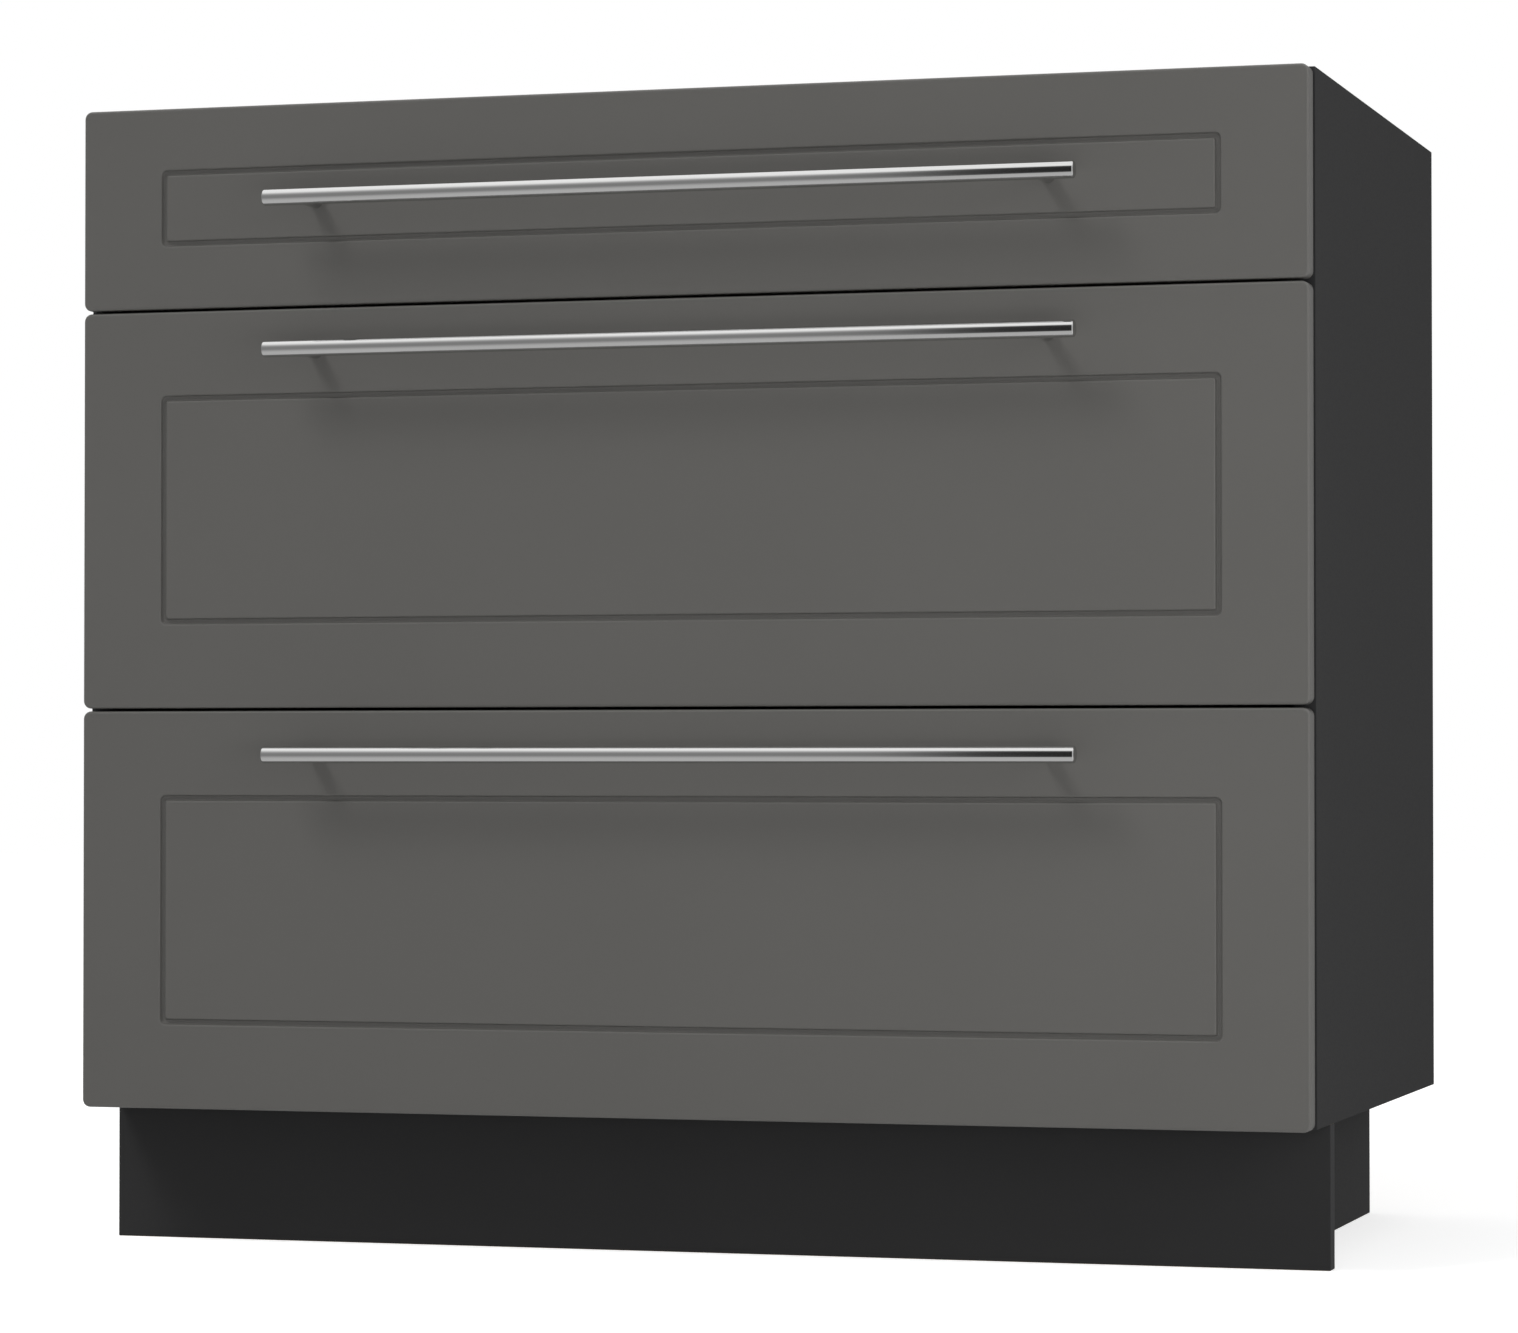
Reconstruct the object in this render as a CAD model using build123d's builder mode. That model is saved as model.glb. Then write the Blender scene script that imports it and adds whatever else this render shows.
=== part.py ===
from build123d import *

import os
from collections import namedtuple
from math import sqrt

# A kitchen base cabinet: one shallow drawer over two deep ones, on a plinth of boards.
# Millimetres. X runs to the right, Y to the back and Z up. The origin is on the floor, under the
# middle of the whole object, its handles included.

os.makedirs("parts", exist_ok=True)

# ---- Carcass and plinth ------------------------------------------------------------------------
cabinet_width = 900.0
carcass_height = 720.0
carcass_depth = 500.0
board = 16.0                    # melamine board of the carcass, the plinth and the drawer boxes
top_rail_width = 100.0
back_thickness = 3.0
back_inset = 18.0               # from the carcass's rear edge to the back panel
groove_bite = 6.0               # how far the back panel's grooves go into the boards
back_side_play = 0.5            # between the back panel's side edges and its grooves
back_foot_play = 0.2            # between its lower edge and the bottom panel's groove
plinth_height = 100.0
plinth_setback = 50.0           # plinth front board behind the carcass's front edge
plinth_inset = 50.0             # plinth side boards inside the carcass's sides
corner_block = 40.0             # square wood block in each plinth corner
corner_block_height = 60.0
upright_screw_share = 0.75      # of the block's width, from the boards to the screw into the carcass
end_screw_share = 0.8           # of the block's height, from its top to the screw into the end board
screw_head_room = 1.0           # around a screw's head in a block
worktop_screw_spacing = 600.0   # between the two worktop screw holes of a top rail
worktop_hole_radius = 2.5

# ---- Fronts and handles ------------------------------------------------------------------------
front_thickness = 16.0
front_buffer = 2.0              # gap between the carcass and the fronts
front_side_margin = 1.0         # how much narrower a front is than the carcass, at each side
front_overlap_below = 1.0       # how far the lowest front hangs below the carcass
front_spacing = 2.0             # gap between two fronts
shallow_front_height = 145.0
front_corner_radius = 5.5
front_edge_radius = 2.0
groove_width = 4.5
groove_depth = 2.7
groove_wall_taper = 18.0        # degrees
groove_corner_radius = 4.5      # of the groove's outer corners
groove_inner_radius = 1.5       # of its inner corners
groove_side_margin = 60.3       # from the front's side edges to the groove
deep_groove_above = 60.3
deep_groove_below = 60.3
shallow_groove_above = 44.3
shallow_groove_below = 45.1
bar_diameter = 12.0
bar_length = 590.0
bar_end_chamfer = 1.2
handle_clearance = 28.0         # finger room between the bar and the front
post_diameter = 10.0
post_spacing = 537.0
post_spigot_radius = 2.0
post_spigot_length = 3.0        # how far the spigot reaches into the bar
spigot_root = 1.0               # how far it reaches into the post
shallow_handle_drop = 70.8      # from the front's upper edge to the bar's axis
deep_handle_drop = 31.5

# ---- Drawer boxes ------------------------------------------------------------------------------
drawer_rear_room = 31.0         # between a drawer box and the back panel
drawer_rise = 37.0              # from a front's lower edge to the underside of its drawer box
side_gap = 12.5                 # between the carcass's side and the drawer's steel side
side_sheet = 1.0
side_height = 86.0
shelf_depth = 12.5              # ledge of the steel side that carries the drawer bottom
flange_gap = 1.7                # between the carcass's side and the running flange
hem_width = 4.0                 # folded edge on top of the steel side
hem_drop = 5.0
deep_back_height = 150.0
board_gap = 0.2                 # between the drawer's boards and its steel sides
gallery_level = 150.0           # rod's height above the underside of the box
gallery_radius = 5.0
gallery_inset = 6.5             # from the steel side's inner face to the rod's axis
holder_plate = 2.0
holder_height = 34.0
holder_wall = 2.0
holder_depth = 10.0
holder_screw_inset = 5.0        # from a holder plate's end to its screw
bracket_sheet = 1.5
bracket_width = 11.0
bracket_length = 40.0
bracket_margin = 4.0            # above the running flange and below the hem
back_screw_rises = (20.0, 50.0)           # of the back board's screws above the drawer bottom
floor_screw_shares = (0.15, 0.5, 0.85)    # of the drawer's length, from its front

# ---- Runners -----------------------------------------------------------------------------------
rail_sheet = 1.2
rail_setback = 2.0              # from the carcass's front edge to the rail
rail_overrun = 4.0              # how far the rail reaches behind the closed drawer box
rail_hole_steps = 7             # hole pitches between a rail's first two screws
rail_last_hole = 31.0           # from the rail's rear end to its last screw
open_roller_spacing = 68.0      # between front and rear roller axes when the drawer is fully open
rail_side_clearance = 1.5       # between the rail's flanges and the steel side
roller_radius = 10.0
roller_width = 6.2
roller_end_inset = 14.0         # from the end of a rail or steel side to its roller's axis
roller_gap = 0.3                # between a roller and what it runs on
roller_play = 0.3               # at each end of a roller
roller_chamfer = 0.4
roller_window = 2.0             # how far the rail's open top reaches behind its roller
flange_clearance = 0.8          # between the rail and the running flange above it
axle_radius = 2.5
axle_shoulder_radius = 4.5
axle_head_radius = 4.0
axle_head = 0.9
rear_shoulder = 1.7
front_shoulder = 1.5
bearing_clearance = 0.05
stop_tab_drop = 5.0

# ---- Fasteners ---------------------------------------------------------------------------------
fit = 0.05                      # radial room of a fixed pin or screw in its hole
end_room = 0.5                  # between a screw's or pin's end and the end of its hole
first_hole = 37.0               # from a board's front edge to its first fitting
hole_pitch = 32.0
dowel_radius = 4.0
dowel_length = 35.0
dowel_bite = 12.0               # how deep a dowel sits in the side panel
dowel_chamfer = 0.8
cam_radius = 7.5
cam_height = 12.5
cam_reach = 34.0                # from the side panel's face to the cam's axis
cam_slot_width = 1.25
cam_slot_depth = 2.0
cam_bolt_room = 0.2             # around the bolt inside the cam
bolt_radius = 3.3
bolt_thread_radius = 2.5
bolt_bite = 11.0
bolt_tip = 1.0
bolt_neck = 2.0                 # length of the thin neck behind the bolt's head
wood_screw_radius = 2.0
wood_screw_length = 30.0
wood_screw_bite = 10.0          # how deep a plinth screw goes into the board behind its block
rail_screw_radius = 2.5
rail_screw_length = 12.0
rail_screw_head_radius = 4.5
rail_screw_head = 1.6
small_screw_radius = 1.75
small_screw_head_radius = 3.5
small_screw_head = 2.0
back_screw_length = 26.0
front_skin = 1.5                # board left between a screw's tip and the groove's bottom
handle_screw_radius = 2.0
handle_screw_head_radius = 4.0
handle_screw_head = 2.5
handle_screw_room = 0.25        # around a handle screw in the front
handle_screw_bite = 10.0
rivet_radius = 2.0
rivet_head_radius = 3.5
rivet_head = 1.2
rivet_tail_radius = 3.0
rivet_tail = 0.8
bumper_radius = 4.0
bumper_gap = 0.2                # between a bumper and the closed front
bumper_drop = 20.0              # below the front's upper edge

# ---- Places that follow ------------------------------------------------------------------------
half_width = cabinet_width / 2
inner_half = half_width - board
total_depth = handle_clearance + bar_diameter + front_thickness + front_buffer + carcass_depth
carcass_back = total_depth / 2
carcass_front = carcass_back - carcass_depth
front_inner = carcass_front - front_buffer
front_face = front_inner - front_thickness
bar_y = front_face - handle_clearance - bar_diameter / 2
carcass_top = plinth_height + carcass_height
rail_underside = carcass_top - board
floor_top = plinth_height + board
back_front = carcass_back - back_inset - back_thickness
upright_screw_inset = corner_block * upright_screw_share
end_screw_drop = corner_block_height * end_screw_share
front_half = half_width - front_side_margin
deep_front_height = (carcass_height + front_overlap_below - shallow_front_height) / 2 - front_spacing

web_outer = side_gap
web_inner = side_gap + side_sheet
box_half = inner_half - web_inner
box_rear = back_front - drawer_rear_room
drawer_length = box_rear - front_inner
box_floor = side_sheet + board
flange_depth = side_gap - rail_side_clearance
channel = 2 * (roller_radius + roller_gap)
rail_height = channel + 2 * rail_sheet
flange_low = rail_height + flange_clearance
flange_high = flange_low + 2 * side_sheet
rail_front = carcass_front + rail_setback
rail_rear = box_rear + rail_overrun
front_roller_y = rail_front + roller_end_inset
rear_roller_y = box_rear - roller_end_inset
rear_roller_level = rail_sheet + roller_gap + roller_radius
front_roller_level = flange_low - roller_gap - roller_radius
drawer_travel = rear_roller_y - front_roller_y - open_roller_spacing
rail_first_screw = carcass_front + first_hole
rail_middle_screw = rail_first_screw + rail_hole_steps * hole_pitch
rail_screw_points = [rail_first_screw, rail_middle_screw, rail_rear - rail_last_hole]
bracket_low = flange_high + bracket_margin
bracket_high = side_height - hem_drop - bracket_margin
bracket_screw_levels = (bracket_low + 2 * small_screw_head_radius, bracket_high - 2 * small_screw_head_radius)
bracket_screw_inset = web_outer - (bracket_sheet + bracket_width) / 2
rivet_y = front_inner + bracket_length / 2
back_screw_levels = [box_floor + rise for rise in back_screw_rises]
floor_screw_inset = web_inner + shelf_depth / 2
floor_screw_points = [front_inner + drawer_length * share for share in floor_screw_shares]
front_screw_length = front_thickness - groove_depth - front_skin
gallery_u = web_inner + gallery_inset
holder_screw_step = holder_height / 2 - holder_screw_inset
bumper_thickness = front_buffer - bumper_gap

Drawer = namedtuple("Drawer", "name low height groove_above groove_below handle_drop back_height gallery")
lowest_edge = plinth_height - front_overlap_below
deep_step = deep_front_height + front_spacing
shallow_back_height = side_height - box_floor
drawers = [
    Drawer("bottom", lowest_edge, deep_front_height, deep_groove_above, deep_groove_below,
           deep_handle_drop, deep_back_height, True),
    Drawer("middle", lowest_edge + deep_step, deep_front_height, deep_groove_above, deep_groove_below,
           deep_handle_drop, deep_back_height, True),
    Drawer("top", lowest_edge + 2 * deep_step, shallow_front_height, shallow_groove_above,
           shallow_groove_below, shallow_handle_drop, shallow_back_height, False),
]
both_sides = (("left", -1), ("right", 1))

# Each board that meets the side panels: its underside, then the places of its cams and dowels.
BoardEnd = namedtuple("BoardEnd", "low cams dowels")
rear_rail_front = back_front - top_rail_width
floor_rear_cam = back_front - first_hole
board_ends = [
    BoardEnd(plinth_height, [carcass_front + first_hole, floor_rear_cam],
             [carcass_front + first_hole + hole_pitch, floor_rear_cam - hole_pitch]),
    BoardEnd(rail_underside, [carcass_front + first_hole], [carcass_front + first_hole + hole_pitch]),
    BoardEnd(rail_underside, [rear_rail_front + first_hole], [rear_rail_front + first_hole + hole_pitch]),
]


# ---- Shared shapes -----------------------------------------------------------------------------
def save(piece, name):
    """Label a finished piece and write it."""
    piece.part.label = name
    export_step(piece.part, f"parts/{name}.step")


def outward(side, inset, y, z):
    """A plane set in from the side panel's inner face, its Z axis pointing out to that side."""
    return Plane(origin=(side * (inner_half - inset), y, z), z_dir=(side, 0, 0))


def inward(side, inset, y, z):
    """The same plane with its Z axis pointing to the cabinet's middle."""
    return Plane(origin=(side * (inner_half - inset), y, z), z_dir=(-side, 0, 0))


def forward(x, y, z):
    """A plane with its Z axis pointing to the cabinet's front."""
    return Plane(origin=(x, y, z), x_dir=(1, 0, 0), z_dir=(0, -1, 0))


def backward(x, y, z):
    """A plane with its Z axis pointing to the cabinet's back."""
    return Plane(origin=(x, y, z), x_dir=(1, 0, 0), z_dir=(0, 1, 0))


def slab(left, right, near, far, low, high, mode=Mode.ADD):
    """A board between two X, two Y and two Z values."""
    with BuildSketch(Plane.XY.offset(low)) as outline:
        with Locations(((left + right) / 2, (near + far) / 2)):
            Rectangle(right - left, far - near)
    extrude(outline.sketch, amount=high - low, mode=mode)


def rod(plane, radius, start, end, mode=Mode.ADD):
    """A round bar on the plane's Z axis, between two places along it."""
    with BuildSketch(plane.offset(start)) as outline:
        Circle(radius)
    extrude(outline.sketch, amount=end - start, mode=mode)


def turned(plane, profile, mode=Mode.ADD):
    """A turned shape on the plane's Z axis, from (radius, place along the axis) points."""
    section = Plane(origin=plane.origin, x_dir=plane.x_dir, z_dir=-plane.y_dir)
    with BuildSketch(section) as outline:
        with BuildLine():
            Polyline(*profile, close=True)
        make_face()
    revolve(outline.sketch, axis=Axis(plane.origin, plane.z_dir), mode=mode)


def screw(plane, radius, length, head_radius, head):
    """A screw whose head sits on the plane and whose shank points along its Z axis."""
    edge = head / 3
    turned(plane, [(0, -head), (head_radius - edge, -head), (head_radius, -head + edge),
                   (head_radius, 0), (radius, 0), (radius, length - radius), (0, length)])


def sheet_run(side, corners, low, near, far):
    """A folded sheet of constant section along Y. Corners are (inset, level) points above low."""
    with BuildSketch(Plane.XZ.offset(-far)) as outline:
        with BuildLine():
            Polyline(*[(side * (inner_half - inset), low + level) for inset, level in corners], close=True)
        make_face()
    extrude(outline.sketch, amount=far - near)


# ---- Carcass -----------------------------------------------------------------------------------
for hand, side in both_sides:
    with BuildPart() as side_panel:
        outer_x = side * half_width
        inner_x = side * inner_half
        slab(min(outer_x, inner_x), max(outer_x, inner_x), carcass_front, carcass_back,
             plinth_height, carcass_top)
        groove_x = side * (inner_half + groove_bite)
        slab(min(inner_x, groove_x), max(inner_x, groove_x), back_front - fit,
             back_front + back_thickness + fit, floor_top - groove_bite, carcass_top, Mode.SUBTRACT)
        for end in board_ends:
            for y in end.cams:
                rod(outward(side, 0, y, end.low + board / 2), bolt_thread_radius + fit,
                    0, bolt_bite + 2 * end_room, Mode.SUBTRACT)
            for y in end.dowels:
                rod(outward(side, 0, y, end.low + board / 2), dowel_radius + fit,
                    0, dowel_bite + end_room, Mode.SUBTRACT)
        for drawer in drawers:
            for y in rail_screw_points:
                rod(outward(side, 0, y, drawer.low + drawer_rise + rear_roller_level),
                    rail_screw_radius + fit, 0, rail_screw_length, Mode.SUBTRACT)
    save(side_panel, f"side_panel_{hand}")


def cut_board_end(side, end):
    """The dowel, bolt and cam holes at one end of a board between the side panels."""
    middle = end.low + board / 2
    for y in end.dowels:
        rod(inward(side, 0, y, middle), dowel_radius + fit, 0,
            dowel_length - dowel_bite + 2 * end_room, Mode.SUBTRACT)
    for y in end.cams:
        rod(inward(side, 0, y, middle), bolt_radius + 2 * fit, 0, cam_reach, Mode.SUBTRACT)
        rod(Plane(origin=(side * (inner_half - cam_reach), y, end.low)), cam_radius, 0, cam_height,
            Mode.SUBTRACT)


with BuildPart() as bottom_panel:
    slab(-inner_half, inner_half, carcass_front, carcass_back, plinth_height, floor_top)
    slab(-inner_half, inner_half, back_front - fit, back_front + back_thickness + fit,
         floor_top - groove_bite, floor_top, Mode.SUBTRACT)
    for hand, side in both_sides:
        cut_board_end(side, board_ends[0])
        for y in (carcass_front + plinth_setback + board + upright_screw_inset,
                  carcass_back - board - upright_screw_inset):
            x = side * (half_width - plinth_inset - board - upright_screw_inset)
            rod(Plane(origin=(x, y, plinth_height)), wood_screw_radius + fit, 0, wood_screw_bite + end_room,
                Mode.SUBTRACT)
save(bottom_panel, "bottom_panel")

for name, near, end in (("top_rail_front", carcass_front, board_ends[1]),
                        ("top_rail_rear", rear_rail_front, board_ends[2])):
    with BuildPart() as top_rail:
        slab(-inner_half, inner_half, near, near + top_rail_width, rail_underside, carcass_top)
        for hand, side in both_sides:
            cut_board_end(side, end)
            hole_x = side * worktop_screw_spacing / 2
            rod(Plane(origin=(hole_x, near + top_rail_width / 2, rail_underside)), worktop_hole_radius,
                0, board, Mode.SUBTRACT)
    save(top_rail, name)

with BuildPart() as back_panel:
    reach = inner_half + groove_bite - back_side_play
    slab(-reach, reach, back_front, back_front + back_thickness,
         floor_top - groove_bite + back_foot_play, carcass_top)
save(back_panel, "back_panel")

with BuildPart() as cam_locks:
    for end in board_ends:
        for hand, side in both_sides:
            for y in end.cams:
                cam_axis = Plane(origin=(side * (inner_half - cam_reach), y, end.low))
                rod(cam_axis, cam_radius - fit, 0, cam_height - 2 * fit)
                rod(outward(side, cam_reach, y, end.low + board / 2), bolt_radius + cam_bolt_room,
                    -bolt_radius, cam_radius, Mode.SUBTRACT)
                with BuildSketch(cam_axis) as slot:
                    Rectangle(cam_radius, cam_slot_width)
                    Rectangle(cam_slot_width, cam_radius)
                extrude(slot.sketch, amount=cam_slot_depth, mode=Mode.SUBTRACT)
save(cam_locks, "cam_locks")

with BuildPart() as cam_bolts:
    for end in board_ends:
        for hand, side in both_sides:
            for y in end.cams:
                head = cam_reach - bolt_radius
                turned(inward(side, 0, y, end.low + board / 2),
                       [(0, -bolt_bite), (bolt_thread_radius, -bolt_bite + bolt_tip), (bolt_thread_radius, 0),
                        (bolt_radius, 0), (bolt_radius, head - bolt_radius),
                        (bolt_radius / 2, head - bolt_neck), (bolt_radius / 2, head - bolt_neck / 4),
                        (bolt_radius, head + bolt_neck / 2), (0, cam_reach)])
save(cam_bolts, "cam_bolts")

with BuildPart() as wood_dowels:
    for end in board_ends:
        for hand, side in both_sides:
            for y in end.dowels:
                far = dowel_length - dowel_bite
                turned(inward(side, 0, y, end.low + board / 2),
                       [(0, -dowel_bite), (dowel_radius - dowel_chamfer, -dowel_bite),
                        (dowel_radius, -dowel_bite + dowel_chamfer), (dowel_radius, far - dowel_chamfer),
                        (dowel_radius - dowel_chamfer, far), (0, far)])
save(wood_dowels, "wood_dowels")

# ---- Plinth ------------------------------------------------------------------------------------
plinth_front_y = carcass_front + plinth_setback
plinth_inner_half = half_width - plinth_inset - board
block_screw_y = {"front": plinth_front_y + board, "rear": carcass_back - board}

with BuildPart() as plinth_front:
    slab(-half_width, half_width, plinth_front_y, plinth_front_y + board, 0, plinth_height)
    for hand, side in both_sides:
        x = side * (plinth_inner_half - corner_block / 2)
        rod(forward(x, plinth_front_y + board, plinth_height - end_screw_drop),
            wood_screw_radius + fit, 0, wood_screw_bite + end_room, Mode.SUBTRACT)
save(plinth_front, "plinth_front")

with BuildPart() as plinth_rear:
    slab(-plinth_inner_half, plinth_inner_half, carcass_back - board, carcass_back, 0, plinth_height)
    for hand, side in both_sides:
        x = side * (plinth_inner_half - corner_block / 2)
        rod(backward(x, carcass_back - board, plinth_height - end_screw_drop),
            wood_screw_radius + fit, 0, wood_screw_bite + end_room, Mode.SUBTRACT)
save(plinth_rear, "plinth_rear")

for hand, side in both_sides:
    with BuildPart() as plinth_side:
        outer_x = side * (plinth_inner_half + board)
        inner_x = side * plinth_inner_half
        slab(min(outer_x, inner_x), max(outer_x, inner_x), plinth_front_y + board, carcass_back,
             0, plinth_height)
        for y in (block_screw_y["front"] + corner_block / 2, block_screw_y["rear"] - corner_block / 2):
            rod(outward(side, inner_half - plinth_inner_half, y, plinth_height - corner_block_height / 2),
                wood_screw_radius + fit, 0, wood_screw_bite + end_room, Mode.SUBTRACT)
    save(plinth_side, f"plinth_side_{hand}")


def block_screw_seats(side, end_y, toward_end):
    """The three planes on which a corner block's screws seat: into the end board, the side board
    and the carcass's bottom panel. toward_end is -1 at the plinth's front and 1 at its rear."""
    seat = wood_screw_length - wood_screw_bite
    middle_x = side * (plinth_inner_half - corner_block / 2)
    end_plane = forward if toward_end < 0 else backward
    inset = inner_half - plinth_inner_half + seat
    return [
        end_plane(middle_x, end_y - toward_end * seat, plinth_height - end_screw_drop),
        outward(side, inset, end_y - toward_end * corner_block / 2, plinth_height - corner_block_height / 2),
        Plane(origin=(side * (plinth_inner_half - upright_screw_inset),
                      end_y - toward_end * upright_screw_inset, plinth_height - seat)),
    ]


plinth_corners = [(side, block_screw_y[place], toward) for place, toward in (("front", -1), ("rear", 1))
                  for hand, side in both_sides]

with BuildPart() as plinth_corner_blocks:
    for side, end_y, toward_end in plinth_corners:
        xs = sorted((side * plinth_inner_half, side * (plinth_inner_half - corner_block)))
        ys = sorted((end_y, end_y - toward_end * corner_block))
        slab(*xs, *ys, plinth_height - corner_block_height, plinth_height)
    for side, end_y, toward_end in plinth_corners:
        for seat in block_screw_seats(side, end_y, toward_end):
            rod(seat, wood_screw_radius + fit, 0, wood_screw_length, Mode.SUBTRACT)
            rod(seat, small_screw_head_radius + screw_head_room, -corner_block_height, 0, Mode.SUBTRACT)
save(plinth_corner_blocks, "plinth_corner_blocks")

with BuildPart() as plinth_screws:
    for side, end_y, toward_end in plinth_corners:
        for seat in block_screw_seats(side, end_y, toward_end):
            screw(seat, wood_screw_radius, wood_screw_length, small_screw_head_radius, small_screw_head)
save(plinth_screws, "plinth_screws")

# ---- Carcass rails -----------------------------------------------------------------------------
rail_section = [
    (0, 0), (flange_depth, 0), (flange_depth, rail_sheet), (rail_sheet, rail_sheet),
    (rail_sheet, rail_height - rail_sheet), (flange_depth, rail_height - rail_sheet),
    (flange_depth, rail_height), (0, rail_height),
]
stop_level = rail_height - rail_sheet - stop_tab_drop
stop_reach = sqrt(roller_radius ** 2 - (stop_level - rear_roller_level) ** 2)
stop_y = rear_roller_y - drawer_travel - stop_reach - roller_gap

for hand, side in both_sides:
    with BuildPart() as cabinet_rails:
        for drawer in drawers:
            low = drawer.low + drawer_rise
            sheet_run(side, rail_section, low, rail_front, rail_rear)
            xs = sorted((side * (inner_half - rail_sheet), side * (inner_half - flange_depth)))
            slab(*xs, rail_front, front_roller_y + roller_radius + roller_window,
                 low + rail_height - rail_sheet, low + rail_height, Mode.SUBTRACT)
            slab(*xs, stop_y - rail_sheet, stop_y, low + stop_level, low + rail_height - rail_sheet)
            for y in rail_screw_points:
                rod(outward(side, rail_sheet, y, low + rear_roller_level), rail_screw_radius + fit,
                    0, rail_sheet, Mode.SUBTRACT)
            rod(outward(side, rail_sheet, front_roller_y, low + front_roller_level), axle_radius + fit,
                0, rail_sheet, Mode.SUBTRACT)
    save(cabinet_rails, f"cabinet_rails_{hand}")

with BuildPart() as rail_screws:
    for drawer in drawers:
        for hand, side in both_sides:
            for y in rail_screw_points:
                screw(outward(side, rail_sheet, y, drawer.low + drawer_rise + rear_roller_level),
                      rail_screw_radius, rail_screw_length, rail_screw_head_radius, rail_screw_head)
save(rail_screws, "rail_screws")


def axle_pin(plane, sheet, shoulder):
    """A roller's pin: a foot riveted in the sheet, a shoulder, the bearing length and a head."""
    grip = sheet + shoulder + 2 * roller_play + roller_width
    turned(plane, [(0, 0), (axle_radius, 0), (axle_radius, sheet), (axle_shoulder_radius, sheet),
                   (axle_shoulder_radius, sheet + shoulder), (axle_radius, sheet + shoulder),
                   (axle_radius, grip), (axle_head_radius, grip), (axle_head_radius, grip + axle_head),
                   (0, grip + axle_head)])


def roller(plane, sheet, shoulder):
    """The roller that turns on such a pin."""
    bore = axle_radius + bearing_clearance
    start = sheet + shoulder + roller_play
    end = start + roller_width
    rim = roller_radius - roller_chamfer
    turned(plane, [(bore, start), (rim, start), (roller_radius, start + roller_chamfer),
                   (roller_radius, end - roller_chamfer), (rim, end), (bore, end)])


def front_axle_plane(side, drawer):
    """On the side panel's inner face, at a front roller's axis."""
    return inward(side, 0, front_roller_y, drawer.low + drawer_rise + front_roller_level)


def rear_axle_plane(side, drawer):
    """On the steel side's inner face, at a rear roller's axis."""
    return outward(side, web_inner, rear_roller_y, drawer.low + drawer_rise + rear_roller_level)


with BuildPart() as front_roller_pins:
    for drawer in drawers:
        for hand, side in both_sides:
            axle_pin(front_axle_plane(side, drawer), rail_sheet, front_shoulder)
save(front_roller_pins, "front_roller_pins")

with BuildPart() as front_bumpers:
    for drawer in drawers:
        for hand, side in both_sides:
            bumper_level = drawer.low + drawer.height - bumper_drop
            rod(forward(side * (half_width - board / 2), carcass_front, bumper_level),
                bumper_radius, 0, bumper_thickness)
save(front_bumpers, "front_bumpers")


# ---- Drawers -----------------------------------------------------------------------------------
def bracket_seats(side, drawer):
    """The planes of a front bracket's two wood screws, seated on its foot."""
    x = side * (inner_half - bracket_screw_inset)
    levels = [drawer.low + drawer_rise + level for level in bracket_screw_levels]
    return [forward(x, front_inner + bracket_sheet, z) for z in levels]


def rivet_planes(side, drawer):
    """The planes of a front bracket's two rivets, on the bracket's outer face."""
    levels = [drawer.low + drawer_rise + level for level in bracket_screw_levels]
    return [inward(side, web_outer - bracket_sheet, rivet_y, z) for z in levels]


def back_screw_planes(side, drawer):
    """The planes of the two screws through a steel side into the back board's end."""
    levels = [drawer.low + drawer_rise + level for level in back_screw_levels]
    return [inward(side, web_outer, box_rear - board / 2, z) for z in levels]


def floor_screw_planes(side, drawer):
    """The planes of the screws through a steel side's ledge into the drawer bottom."""
    x = side * (inner_half - floor_screw_inset)
    return [Plane(origin=(x, y, drawer.low + drawer_rise)) for y in floor_screw_points]


def holder_planes(side, drawer):
    """The front and rear planes that a gallery rod's holders stand on, Z axes towards the boards."""
    x = side * (inner_half - gallery_u)
    z = drawer.low + drawer_rise + gallery_level
    return [forward(x, front_inner, z), backward(x, box_rear - board, z)]


def holder_screw_planes(side, drawer):
    """The planes of the screws of both holders of a gallery rod, seated on their plates."""
    planes = []
    for plane in holder_planes(side, drawer):
        for step in (-holder_screw_step, holder_screw_step):
            seat = plane.origin - plane.z_dir * holder_plate + Vector(0, 0, step)
            planes.append(Plane(origin=seat, x_dir=plane.x_dir, z_dir=plane.z_dir))
    return planes


handle_points = [-post_spacing / 2, post_spacing / 2]

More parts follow.
